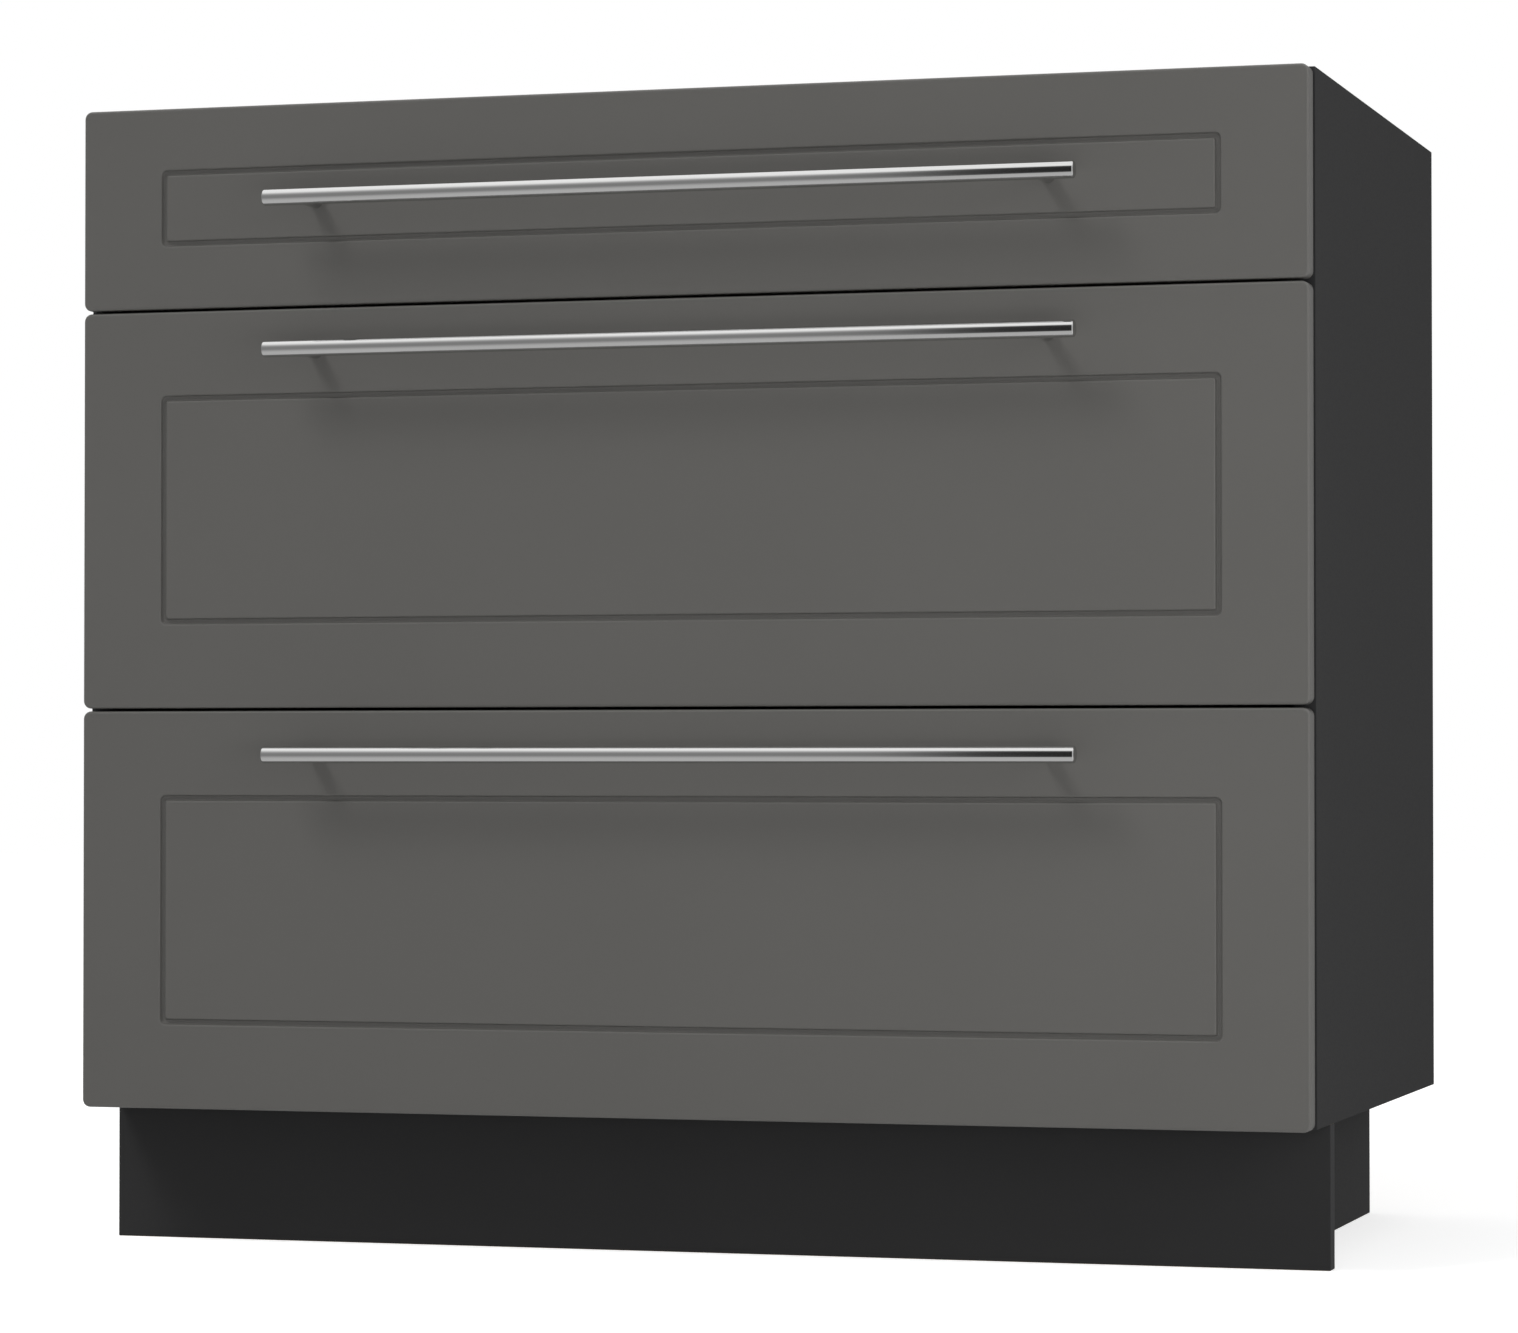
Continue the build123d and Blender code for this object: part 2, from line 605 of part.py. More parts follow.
for drawer in drawers:
    name = drawer.name
    box_low = drawer.low + drawer_rise
    front_high = drawer.low + drawer.height
    handle_z = front_high - drawer.handle_drop

    with BuildPart() as drawer_front:
        slab(-front_half, front_half, front_face, front_inner, drawer.low, front_high)
        fillet(drawer_front.edges().filter_by(Axis.Y), radius=front_corner_radius)
        fillet(drawer_front.faces().sort_by(Axis.Y)[0].edges(), radius=front_edge_radius)
        groove_high = front_high - drawer.groove_above
        groove_low = drawer.low + drawer.groove_below
        groove_span = 2 * (front_half - groove_side_margin)
        with BuildSketch(backward(0, front_face, (groove_high + groove_low) / 2)) as groove:
            RectangleRounded(groove_span, groove_high - groove_low, groove_corner_radius)
            RectangleRounded(groove_span - 2 * groove_width,
                             groove_high - groove_low - 2 * groove_width,
                             groove_inner_radius, mode=Mode.SUBTRACT)
        extrude(groove.sketch, amount=groove_depth, taper=groove_wall_taper, mode=Mode.SUBTRACT)
        for x in handle_points:
            rod(forward(x, front_inner, handle_z), handle_screw_radius + handle_screw_room,
                0, front_thickness, Mode.SUBTRACT)
        for hand, side in both_sides:
            for seat in bracket_seats(side, drawer):
                rod(seat, small_screw_radius + fit, bracket_sheet, bracket_sheet + front_screw_length,
                    Mode.SUBTRACT)
            if drawer.gallery:
                for seat in holder_screw_planes(side, drawer)[:2]:
                    rod(seat, small_screw_radius + fit, holder_plate, holder_plate + front_screw_length,
                        Mode.SUBTRACT)
    save(drawer_front, f"drawer_front_{name}")

    with BuildPart() as handle_bar:
        bar_plane = Plane(origin=(0, bar_y, handle_z), z_dir=(1, 0, 0))
        rod(bar_plane, bar_diameter / 2, -bar_length / 2, bar_length / 2)
        chamfer(handle_bar.edges().filter_by(GeomType.CIRCLE), length=bar_end_chamfer)
        for x in handle_points:
            rod(forward(x, bar_y + bar_diameter / 2, handle_z), post_spigot_radius + fit, 0,
                post_spigot_length + end_room, Mode.SUBTRACT)
    save(handle_bar, f"handle_bar_{name}")

    with BuildPart() as handle_posts:
        for x in handle_points:
            foot = forward(x, front_face, handle_z)
            rod(foot, post_diameter / 2, 0, handle_clearance + bar_diameter / 2)
        rod(bar_plane, bar_diameter / 2, -bar_length / 2, bar_length / 2, Mode.SUBTRACT)
        for x in handle_points:
            foot = forward(x, front_face, handle_z)
            rod(foot, post_spigot_radius, handle_clearance - spigot_root,
                handle_clearance + post_spigot_length)
            rod(foot, handle_screw_radius + fit, 0, handle_screw_bite + 2 * end_room, Mode.SUBTRACT)
    save(handle_posts, f"handle_posts_{name}")

    side_section = [
        (web_outer, 0), (web_inner + shelf_depth, 0), (web_inner + shelf_depth, side_sheet),
        (web_inner, side_sheet), (web_inner, side_height), (web_outer - hem_width, side_height),
        (web_outer - hem_width, side_height - hem_drop),
        (web_outer - hem_width + side_sheet, side_height - hem_drop),
        (web_outer - hem_width + side_sheet, side_height - side_sheet),
        (web_outer, side_height - side_sheet), (web_outer, flange_high), (flange_gap, flange_high),
        (flange_gap, flange_low), (web_outer, flange_low),
    ]
    for hand, side in both_sides:
        with BuildPart() as drawer_side:
            sheet_run(side, side_section, box_low, front_inner, box_rear)
            for plane in rivet_planes(side, drawer):
                rod(plane, rivet_radius + fit, 0, bracket_sheet + side_sheet, Mode.SUBTRACT)
            for plane in back_screw_planes(side, drawer):
                rod(plane, small_screw_radius + fit, 0, side_sheet, Mode.SUBTRACT)
            for plane in floor_screw_planes(side, drawer):
                rod(plane, small_screw_radius + fit, 0, side_sheet, Mode.SUBTRACT)
            rod(rear_axle_plane(side, drawer), axle_radius + fit, 0, side_sheet, Mode.SUBTRACT)
        save(drawer_side, f"drawer_side_{hand}_{name}")

    with BuildPart() as drawer_bottom:
        slab(-box_half + board_gap, box_half - board_gap, front_inner + board_gap, box_rear,
             box_low + side_sheet, box_low + box_floor)
        for hand, side in both_sides:
            for plane in floor_screw_planes(side, drawer):
                rod(plane, small_screw_radius + fit, side_sheet, board - front_skin, Mode.SUBTRACT)
    save(drawer_bottom, f"drawer_bottom_{name}")

    with BuildPart() as drawer_back:
        slab(-box_half + board_gap, box_half - board_gap, box_rear - board, box_rear,
             box_low + box_floor, box_low + box_floor + drawer.back_height)
        for hand, side in both_sides:
            for plane in back_screw_planes(side, drawer):
                rod(plane, small_screw_radius + fit, side_sheet, back_screw_length, Mode.SUBTRACT)
            if drawer.gallery:
                for seat in holder_screw_planes(side, drawer)[2:]:
                    rod(seat, small_screw_radius + fit, holder_plate, holder_plate + front_screw_length,
                        Mode.SUBTRACT)
    save(drawer_back, f"drawer_back_{name}")

    with BuildPart() as front_brackets:
        for hand, side in both_sides:
            outer_x = side * (inner_half - web_outer)
            leg = sorted((outer_x, outer_x + side * bracket_sheet))
            foot = sorted((outer_x, outer_x + side * bracket_width))
            low = box_low + bracket_low
            high = box_low + bracket_high
            slab(*leg, front_inner, front_inner + bracket_length, low, high)
            slab(*foot, front_inner, front_inner + bracket_sheet, low, high)
            for plane in rivet_planes(side, drawer):
                rod(plane, rivet_radius + fit, 0, bracket_sheet, Mode.SUBTRACT)
            for seat in bracket_seats(side, drawer):
                rod(seat, small_screw_radius + fit, 0, bracket_sheet, Mode.SUBTRACT)
    save(front_brackets, f"front_brackets_{name}")

    with BuildPart() as drawer_fasteners:
        for x in handle_points:
            screw(forward(x, front_inner, handle_z), handle_screw_radius, front_thickness + handle_screw_bite,
                  handle_screw_head_radius, handle_screw_head)
        for hand, side in both_sides:
            for seat in bracket_seats(side, drawer):
                screw(seat, small_screw_radius, front_screw_length + bracket_sheet - end_room,
                      small_screw_head_radius, small_screw_head)
            for plane in rivet_planes(side, drawer):
                tail = bracket_sheet + side_sheet
                turned(plane, [(0, -rivet_head), (rivet_head_radius - rivet_head / 2, -rivet_head),
                               (rivet_head_radius, 0), (rivet_radius, 0), (rivet_radius, tail),
                               (rivet_tail_radius, tail), (rivet_tail_radius, tail + rivet_tail),
                               (0, tail + rivet_tail)])
            for plane in back_screw_planes(side, drawer):
                screw(plane, small_screw_radius, back_screw_length - end_room, small_screw_head_radius,
                      small_screw_head)
            for plane in floor_screw_planes(side, drawer):
                screw(plane, small_screw_radius, board - front_skin - end_room, small_screw_head_radius,
                      small_screw_head)
            if drawer.gallery:
                for seat in holder_screw_planes(side, drawer):
                    screw(seat, small_screw_radius, front_screw_length + holder_plate - end_room,
                          small_screw_head_radius, small_screw_head)
    save(drawer_fasteners, f"drawer_fasteners_{name}")

    with BuildPart() as rear_roller_pins:
        for hand, side in both_sides:
            axle_pin(rear_axle_plane(side, drawer), side_sheet, rear_shoulder)
    save(rear_roller_pins, f"rear_roller_pins_{name}")

    with BuildPart() as rear_rollers:
        for hand, side in both_sides:
            roller(rear_axle_plane(side, drawer), side_sheet, rear_shoulder)
    save(rear_rollers, f"rear_rollers_{name}")

    with BuildPart() as front_rollers:
        for hand, side in both_sides:
            roller(front_axle_plane(side, drawer), rail_sheet, front_shoulder)
    save(front_rollers, f"front_rollers_{name}")

    if drawer.gallery:
        with BuildPart() as gallery_rods:
            for hand, side in both_sides:
                front_end, rear_end = holder_planes(side, drawer)
                span = rear_end.origin.Y - front_end.origin.Y
                rod(backward(front_end.origin.X, front_inner, front_end.origin.Z), gallery_radius,
                    holder_plate + fit, span - holder_plate - fit)
        save(gallery_rods, f"gallery_rods_{name}")

        with BuildPart() as gallery_holders:
            for hand, side in both_sides:
                for plane in holder_planes(side, drawer):
                    with BuildSketch(plane) as plate:
                        Rectangle(2 * (gallery_radius + holder_wall), holder_height)
                    extrude(plate.sketch, amount=-holder_plate)
                    rod(plane, gallery_radius + holder_wall, -holder_plate - holder_depth, 0)
                    rod(plane, gallery_radius + fit, -holder_plate - holder_depth, -holder_plate,
                        Mode.SUBTRACT)
                for seat in holder_screw_planes(side, drawer):
                    rod(seat, small_screw_radius + fit, 0, holder_plate, Mode.SUBTRACT)
        save(gallery_holders, f"gallery_holders_{name}")
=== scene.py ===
from math import radians

import bpy
import numpy as np
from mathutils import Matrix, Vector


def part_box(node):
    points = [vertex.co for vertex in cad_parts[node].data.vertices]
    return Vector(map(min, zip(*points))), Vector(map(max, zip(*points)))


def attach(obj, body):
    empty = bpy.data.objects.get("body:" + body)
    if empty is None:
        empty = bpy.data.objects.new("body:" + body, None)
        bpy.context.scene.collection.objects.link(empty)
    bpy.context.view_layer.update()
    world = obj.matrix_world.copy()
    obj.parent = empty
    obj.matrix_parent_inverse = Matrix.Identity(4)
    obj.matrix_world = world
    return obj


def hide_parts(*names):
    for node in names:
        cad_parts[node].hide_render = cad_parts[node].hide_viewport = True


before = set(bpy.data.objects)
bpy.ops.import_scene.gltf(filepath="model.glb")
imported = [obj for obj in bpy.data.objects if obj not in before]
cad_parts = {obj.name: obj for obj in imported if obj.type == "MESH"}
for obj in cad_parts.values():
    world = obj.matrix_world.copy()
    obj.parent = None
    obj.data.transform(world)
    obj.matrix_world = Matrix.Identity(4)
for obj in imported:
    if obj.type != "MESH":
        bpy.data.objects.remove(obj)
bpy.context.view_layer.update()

# A kitchen base cabinet: one shallow drawer over two deep ones, on a plinth of boards.
# Metres, in the frame's own axes: X runs to the right, Y to the back and Z up.

MM = 0.001
HANDS = {"left": -1, "right": 1}
DRAWERS = ("bottom", "middle", "top")
DEEP_DRAWERS = ("bottom", "middle")


# ---- Camera and lamps ----------------------------------------------------------------------------
FILM_WIDTH, LENS = 36.0, 118.64                # in millimetres
CAMERA_PLACE = (1.0593, -3.5693, 0.3483)
LOOKS_UP, LOOKS_LEFT = 1.0946, 16.6709         # in degrees
FARTHEST = 60.0


def photographer():
    """The camera stands well back and to the right, as high as the lowest drawer, with a long lens."""
    data = bpy.data.cameras.new("camera")
    data.sensor_fit, data.sensor_width, data.lens = "HORIZONTAL", FILM_WIDTH, LENS
    data.clip_end = FARTHEST
    camera = bpy.data.objects.new("camera", data)
    camera.location = CAMERA_PLACE
    camera.rotation_euler = (radians(90 + LOOKS_UP), 0, radians(LOOKS_LEFT))
    bpy.context.scene.collection.objects.link(camera)
    bpy.context.scene.camera = camera
    bpy.context.scene.view_settings.view_transform = "Standard"


def soft_light(name, place, aim, width, height, power):
    """A softbox: an area light at place, turned to aim. It shows neither to the camera nor in a shine."""
    data = bpy.data.lights.new(name, "AREA")
    data.shape, data.size, data.size_y, data.energy = "RECTANGLE", width, height, power
    lamp = bpy.data.objects.new(name, data)
    lamp.location = place
    right, ahead, up = np.array(aim) - np.array(place)
    lamp.rotation_euler = (np.arctan2(np.hypot(right, ahead), -up), 0, np.arctan2(-right, ahead))
    lamp.visible_camera = lamp.visible_glossy = False
    bpy.context.scene.collection.objects.link(lamp)


# ---- Shader language -----------------------------------------------------------------------------
class Wire:
    """A shader socket that takes part in Python sums: every operator adds one Math node."""

    def __init__(self, bench, socket):
        self.bench, self.socket = bench, socket

    def also(self, name):
        """Another output of the same node."""
        return Wire(self.bench, self.socket.node.outputs[name])

    def sum(self, operation, first, second):
        """The wire out of a Math node that works out first and second."""
        return self.bench.node("ShaderNodeMath", {"operation": operation}, {0: first, 1: second})

    def __add__(self, other):
        return self.sum("ADD", self, other)

    def __radd__(self, other):
        return self.sum("ADD", other, self)

    def __sub__(self, other):
        return self.sum("SUBTRACT", self, other)

    def __rsub__(self, other):
        return self.sum("SUBTRACT", other, self)

    def __mul__(self, other):
        return self.sum("MULTIPLY", self, other)

    def __rmul__(self, other):
        return self.sum("MULTIPLY", other, self)


class Bench:
    """One tree of shader nodes. Every node is made by one call."""

    def __init__(self, tree):
        self.tree = tree
        tree.nodes.clear()

    def node(self, kind, settings=None, inputs=None, output=0):
        """Adds a node: its settings first, then the values or wires of its sockets. The stops of a
        ramp are (place, colour), its two ends before the ones between."""
        made = self.tree.nodes.new(kind)
        for name, value in (settings or {}).items():
            if name == "stops":
                ramp = made.color_ramp.elements
                for index, (place, colour) in enumerate(value):
                    stop = ramp[index] if index < 2 else ramp.new(place)
                    stop.position, stop.color = place, (*colour, 1.0)
            else:
                setattr(made, name, value)
        for name, value in (inputs or {}).items():
            if isinstance(value, Wire):
                self.tree.links.new(value.socket, made.inputs[name])
            else:
                made.inputs[name].default_value = value
        return Wire(self, made.outputs[output]) if made.outputs else None

    def place(self):
        """Where a point is on the object, in metres."""
        return self.node("ShaderNodeTexCoord", output="Object")

    def stretched(self, place, x, y, z):
        """The same places, with each axis scaled."""
        return self.node("ShaderNodeVectorMath", {"operation": "MULTIPLY"}, {0: place, 1: (x, y, z)})

    def along(self, places, axis):
        """One coordinate of places or directions."""
        return self.node("ShaderNodeSeparateXYZ", {}, {0: places}, axis)

    def noise(self, place, scale, detail=2.0, roughness=0.5):
        """Soft clouds, scale of them to a metre."""
        return self.node("ShaderNodeTexNoise", {}, {
            "Vector": place, "Scale": scale, "Detail": detail, "Roughness": roughness})

    def grains(self, place, scale, output="Distance"):
        """Packed cells, scale of them to a metre: how far a point is from its cell's middle."""
        return self.node("ShaderNodeTexVoronoi", {}, {"Vector": place, "Scale": scale}, output)

    def chips(self, place, scale):
        """A value of its own for each cell."""
        return self.node("ShaderNodeSeparateColor", {}, {"Color": self.grains(place, scale, "Color")})

    def rise(self, value, start, end, low=0.0, high=1.0):
        """A smooth step from low to high while value goes from start to end."""
        return self.node("ShaderNodeMapRange", {"interpolation_type": "SMOOTHSTEP"},
                         {"Value": value, "From Min": start, "From Max": end, "To Min": low, "To Max": high})

    def blend(self, share, first, second):
        """A colour between two, by share. Sockets 6 and 7 and output 2 are the node's colours."""
        padded = {socket: value if isinstance(value, Wire) else (*value, 1.0)
                  for socket, value in ((6, first), (7, second))}
        return self.node("ShaderNodeMix", {"data_type": "RGBA"}, {0: share, **padded}, output=2)

    def relief(self, height, depth):
        """A bump of that depth in metres."""
        return self.node("ShaderNodeBump", {}, {"Height": height, "Strength": 1.0, "Distance": depth})

    def background(self):
        """1 for rays from the camera, bent by glass or not, that see the white background, else 0."""
        straight = self.node("ShaderNodeLightPath", output="Is Camera Ray")
        return self.node("ShaderNodeMath", {"operation": "MAXIMUM"},
                         {0: straight, 1: straight.also("Is Transmission Ray")})

    def surface(self, sockets):
        """The shader with these sockets, joined to the material's output."""
        padded = {name: (*value, 1.0) if isinstance(value, tuple) and len(value) == 3 else value
                  for name, value in sockets.items()}
        shader = self.node("ShaderNodeBsdfPrincipled", {}, padded)
        self.node("ShaderNodeOutputMaterial", {}, {"Surface": shader})


def finish(name):
    """A new material and the bench to build it on."""
    material = bpy.data.materials.new(name)
    material.use_nodes = True
    return material, Bench(material.node_tree)


# ---- Finishes ------------------------------------------------------------------------------------
MELAMINE_TONES = (0.0288, 0.0288, 0.0292), (0.0308, 0.0308, 0.0312)


def grey_foil():
    """Satin foil drawn over fibreboard: a faint orange peel and slow, barely seen clouds of tone."""
    material, bench = finish("grey_foil")
    place = bench.place()
    clouds = bench.noise(place, scale=5.0, detail=3.0, roughness=0.55)
    peel = bench.noise(place, scale=620.0, detail=2.0, roughness=0.45)
    grit = bench.noise(place, scale=2600.0, detail=1.0)
    tone = bench.blend(bench.rise(clouds + 0.25 * (grit - 0.5), 0.3, 0.7),
                       (0.0965, 0.0942, 0.0887), (0.0987, 0.0963, 0.0907))
    bench.surface({
        "Base Color": tone,
        "Roughness": 0.33 + 0.07 * peel + 0.04 * clouds,
        "IOR": 1.50,
        "Specular IOR Level": 0.65,
        "Normal": bench.relief(peel + 0.3 * grit, 0.010 * MM),
    })
    return material


def dark_melamine():
    """Near-black melamine with a fine pearl: closely set shallow pits that break the shine."""
    material, bench = finish("dark_melamine")
    place = bench.place()
    clouds = bench.noise(place, scale=7.0, detail=2.0)
    pits = bench.grains(place, 780.0)
    fibre = bench.noise(place, scale=1500.0, detail=2.0)
    bench.surface({
        "Base Color": bench.blend(bench.rise(clouds * 0.6 + fibre * 0.4, 0.3, 0.7), *MELAMINE_TONES),
        "Roughness": 0.62 + 0.12 * pits + 0.04 * clouds,
        "Specular IOR Level": 0.08,
        "Normal": bench.relief(pits + 0.4 * fibre, 0.016 * MM),
    })
    return material


def edge_band():
    """The plastic band ironed on a board's seen edges: the board's colour, smoother, scraped flush
    along Z."""
    material, bench = finish("edge_band")
    place = bench.place()
    scrape = bench.noise(bench.stretched(place, 900.0, 900.0, 12.0), scale=1.0, detail=2.0)
    bench.surface({
        "Base Color": bench.blend(scrape, (0.026, 0.026, 0.027), (0.030, 0.030, 0.031)),
        "Roughness": 0.52 + 0.10 * scrape,
        "Specular IOR Level": 0.10,
        "Normal": bench.relief(scrape, 0.010 * MM),
    })
    return material


def chipboard():
    """Raw chipboard where a board was sawn: pale and brown flakes with dark glue lines and pores."""
    material, bench = finish("chipboard")
    place = bench.place()
    flakes = bench.chips(bench.stretched(place, 1.0, 0.6, 1.4), 420.0)
    pores = bench.grains(place, 700.0)
    dust = bench.noise(place, scale=900.0, detail=3.0, roughness=0.7)
    brown, straw, tan = (0.200, 0.130, 0.072), (0.560, 0.430, 0.285), (0.400, 0.285, 0.170)
    tone = bench.node("ShaderNodeValToRGB", {"stops": [(0.0, brown), (1.0, straw), (0.45, tan)]},
                      {"Fac": 0.65 * flakes + 0.35 * dust})
    open_pores = bench.rise(pores, 0.05, 0.30)
    bench.surface({
        "Base Color": bench.blend(open_pores, (0.120, 0.075, 0.040), tone),
        "Roughness": 0.80 + 0.12 * dust,
        "Normal": bench.relief(open_pores + 0.5 * dust, 0.12 * MM),
    })
    return material


def rail_board():
    """Dark melamine whose edge towards the back was left as it came from the saw."""
    material, bench = finish("rail_board")
    place = bench.place()
    facing_back = bench.along(bench.node("ShaderNodeTexCoord", output="Normal"), "Y")
    sawn = bench.rise(facing_back, 0.80, 0.95)
    clouds = bench.noise(place, scale=7.0, detail=2.0)
    pits = bench.grains(place, 780.0)
    flakes = bench.chips(bench.stretched(place, 0.6, 1.0, 1.4), 420.0)
    dust = bench.noise(place, scale=900.0, detail=3.0, roughness=0.7)
    raw = bench.blend(0.6 * flakes + 0.4 * dust, (0.220, 0.145, 0.080), (0.540, 0.410, 0.270))
    bench.surface({
        "Base Color": bench.blend(sawn, bench.blend(clouds, *MELAMINE_TONES), raw),
        "Roughness": 0.60 + 0.12 * pits + 0.20 * sawn,
        "Specular IOR Level": 0.10,
        "Normal": bench.relief(pits + 4.0 * sawn * dust, 0.016 * MM),
    })
    return material


def coated_hardboard(middle):
    """Thin hardboard: lacquered dark towards the drawers, bare brown fibre towards the wall. The
    lacquer ends at the middle of the sheet's thickness."""
    material, bench = finish("coated_hardboard")
    place = bench.place()
    bare = bench.rise(bench.along(place, "Y"), middle - 0.4 * MM, middle + 0.4 * MM)
    fibre = bench.noise(place, scale=1400.0, detail=4.0, roughness=0.7)
    clouds = bench.noise(place, scale=9.0, detail=3.0, roughness=0.6)
    brown = bench.blend(0.5 * fibre + 0.5 * clouds, (0.150, 0.088, 0.045), (0.270, 0.175, 0.098))
    lacquer = bench.blend(clouds, (0.028, 0.028, 0.029), (0.033, 0.033, 0.034))
    bench.surface({
        "Base Color": bench.blend(bare, lacquer, brown),
        "Roughness": 0.50 + 0.25 * bare + 0.08 * fibre,
        "Normal": bench.relief(fibre, 0.03 * MM),
    })
    return material


def light_melamine():
    """Light grey melamine of the drawer boxes, with the same pearl."""
    material, bench = finish("light_melamine")
    place = bench.place()
    clouds = bench.noise(place, scale=6.0, detail=2.0)
    pits = bench.grains(place, 760.0)
    bench.surface({
        "Base Color": bench.blend(clouds, (0.560, 0.560, 0.545), (0.605, 0.605, 0.590)),
        "Roughness": 0.42 + 0.10 * pits + 0.04 * clouds,
        "IOR": 1.47,
        "Normal": bench.relief(pits, 0.012 * MM),
    })
    return material


def planed_pine():
    """Planed pine: soft yellow wood with darker late-wood bands along its upright grain."""
    material, bench = finish("planed_pine")
    place = bench.place()
    rings = bench.noise(bench.stretched(place, 160.0, 160.0, 9.0), scale=1.0, detail=3.0, roughness=0.55)
    fibre = bench.noise(bench.stretched(place, 2200.0, 2200.0, 60.0), scale=1.0, detail=2.0)
    bands = bench.rise(rings, 0.42, 0.62)
    bench.surface({
        "Base Color": bench.blend(0.75 * bands + 0.25 * fibre, (0.610, 0.430, 0.230), (0.400, 0.235, 0.100)),
        "Roughness": 0.55 + 0.15 * fibre,
        "Normal": bench.relief(bands + fibre, 0.05 * MM),
    })
    return material


def turned_beech():
    """Beech dowels: even pinkish wood with short dark flecks along the grain, which runs with X."""
    material, bench = finish("turned_beech")
    place = bench.place()
    flecks = bench.noise(bench.stretched(place, 90.0, 1500.0, 1500.0), scale=1.0, detail=2.0)
    dark = bench.rise(flecks, 0.45, 0.70)
    bench.surface({
        "Base Color": bench.blend(dark, (0.600, 0.400, 0.235), (0.430, 0.250, 0.130)),
        "Roughness": 0.50 + 0.15 * flecks,
        "Normal": bench.relief(flecks, 0.04 * MM),
    })
    return material


def brushed_stainless():
    """Handle bars: stainless tube brushed along its length, so its lines run with X."""
    material, bench = finish("brushed_stainless")
    place = bench.place()
    lines = bench.noise(bench.stretched(place, 22.0, 3200.0, 3200.0), scale=1.0, detail=3.0, roughness=0.6)
    drift = bench.noise(bench.stretched(place, 5.0, 90.0, 90.0), scale=1.0, detail=2.0)
    bench.surface({
        "Base Color": bench.blend(lines, (0.600, 0.600, 0.595), (0.660, 0.660, 0.655)),
        "Metallic": 1.0,
        "Roughness": 0.045 + 0.04 * lines + 0.02 * drift,
        "Normal": bench.relief(lines, 0.0005 * MM),
    })
    return material


def powder_coat():
    """Grey powder coat on the drawer's steel sides: a tight orange peel over the sheet."""
    material, bench = finish("powder_coat")
    place = bench.place()
    peel = bench.noise(place, scale=520.0, detail=2.0, roughness=0.5)
    clouds = bench.noise(place, scale=8.0, detail=2.0)
    bench.surface({
        "Base Color": bench.blend(clouds, (0.325, 0.335, 0.345), (0.365, 0.375, 0.385)),
        "Roughness": 0.34 + 0.08 * peel,
        "Normal": bench.relief(peel, 0.03 * MM),
    })
    return material


def zinc_plate(name, tone, shade, dull):
    """Zinc plating on steel: bright grey with a faint crystal bloom and rolling lines. It goes from
    tone to shade, and dull is its least roughness."""
    material, bench = finish(name)
    place = bench.place()
    bloom = bench.chips(place, 330.0)
    lines = bench.noise(bench.stretched(place, 1500.0, 14.0, 1500.0), scale=1.0, detail=2.0)
    bench.surface({
        "Base Color": bench.blend(0.6 * bloom + 0.4 * lines, tone, shade),
        "Metallic": 1.0,
        "Roughness": dull + 0.10 * bloom + 0.06 * lines,
        "Normal": bench.relief(lines, 0.004 * MM),
    })
    return material


def white_nylon():
    """Moulded nylon rollers: milky, slightly waxy, polished where they run."""
    material, bench = finish("white_nylon")
    place = bench.place()
    flow = bench.noise(place, scale=90.0, detail=3.0)
    wear = bench.noise(place, scale=700.0, detail=2.0)
    bench.surface({
        "Base Color": bench.blend(0.5 * flow + 0.5 * wear, (0.620, 0.615, 0.585), (0.700, 0.695, 0.670)),
        "Roughness": 0.30 + 0.12 * wear,
        "Normal": bench.relief(wear, 0.01 * MM),
    })
    return material


def grey_plastic():
    """Grey moulded plastic of the rod holders, eroded by the mould's spark finish."""
    material, bench = finish("grey_plastic")
    place = bench.place()
    spark = bench.noise(place, scale=1300.0, detail=3.0, roughness=0.6)
    flow = bench.noise(place, scale=60.0, detail=2.0)
    bench.surface({
        "Base Color": bench.blend(flow, (0.255, 0.262, 0.270), (0.285, 0.292, 0.300)),
        "Roughness": 0.42 + 0.12 * spark,
        "Normal": bench.relief(spark, 0.02 * MM),
    })
    return material


def soft_rubber():
    """Bumpers of clear grey rubber with a dusty bloom."""
    material, bench = finish("soft_rubber")
    place = bench.place()
    bloom = bench.noise(place, scale=1100.0, detail=3.0)
    bench.surface({
        "Base Color": bench.blend(bloom, (0.240, 0.240, 0.240), (0.320, 0.320, 0.320)),
        "Roughness": 0.50 + 0.20 * bloom,
        "Normal": bench.relief(bloom, 0.02 * MM),
    })
    return material


# ---- Skins ---------------------------------------------------------------------------------------
TINY = 1e-9             # keeps a division from meeting zero
SHARP_ANGLE = 40        # degrees between faces that meet in a hard edge


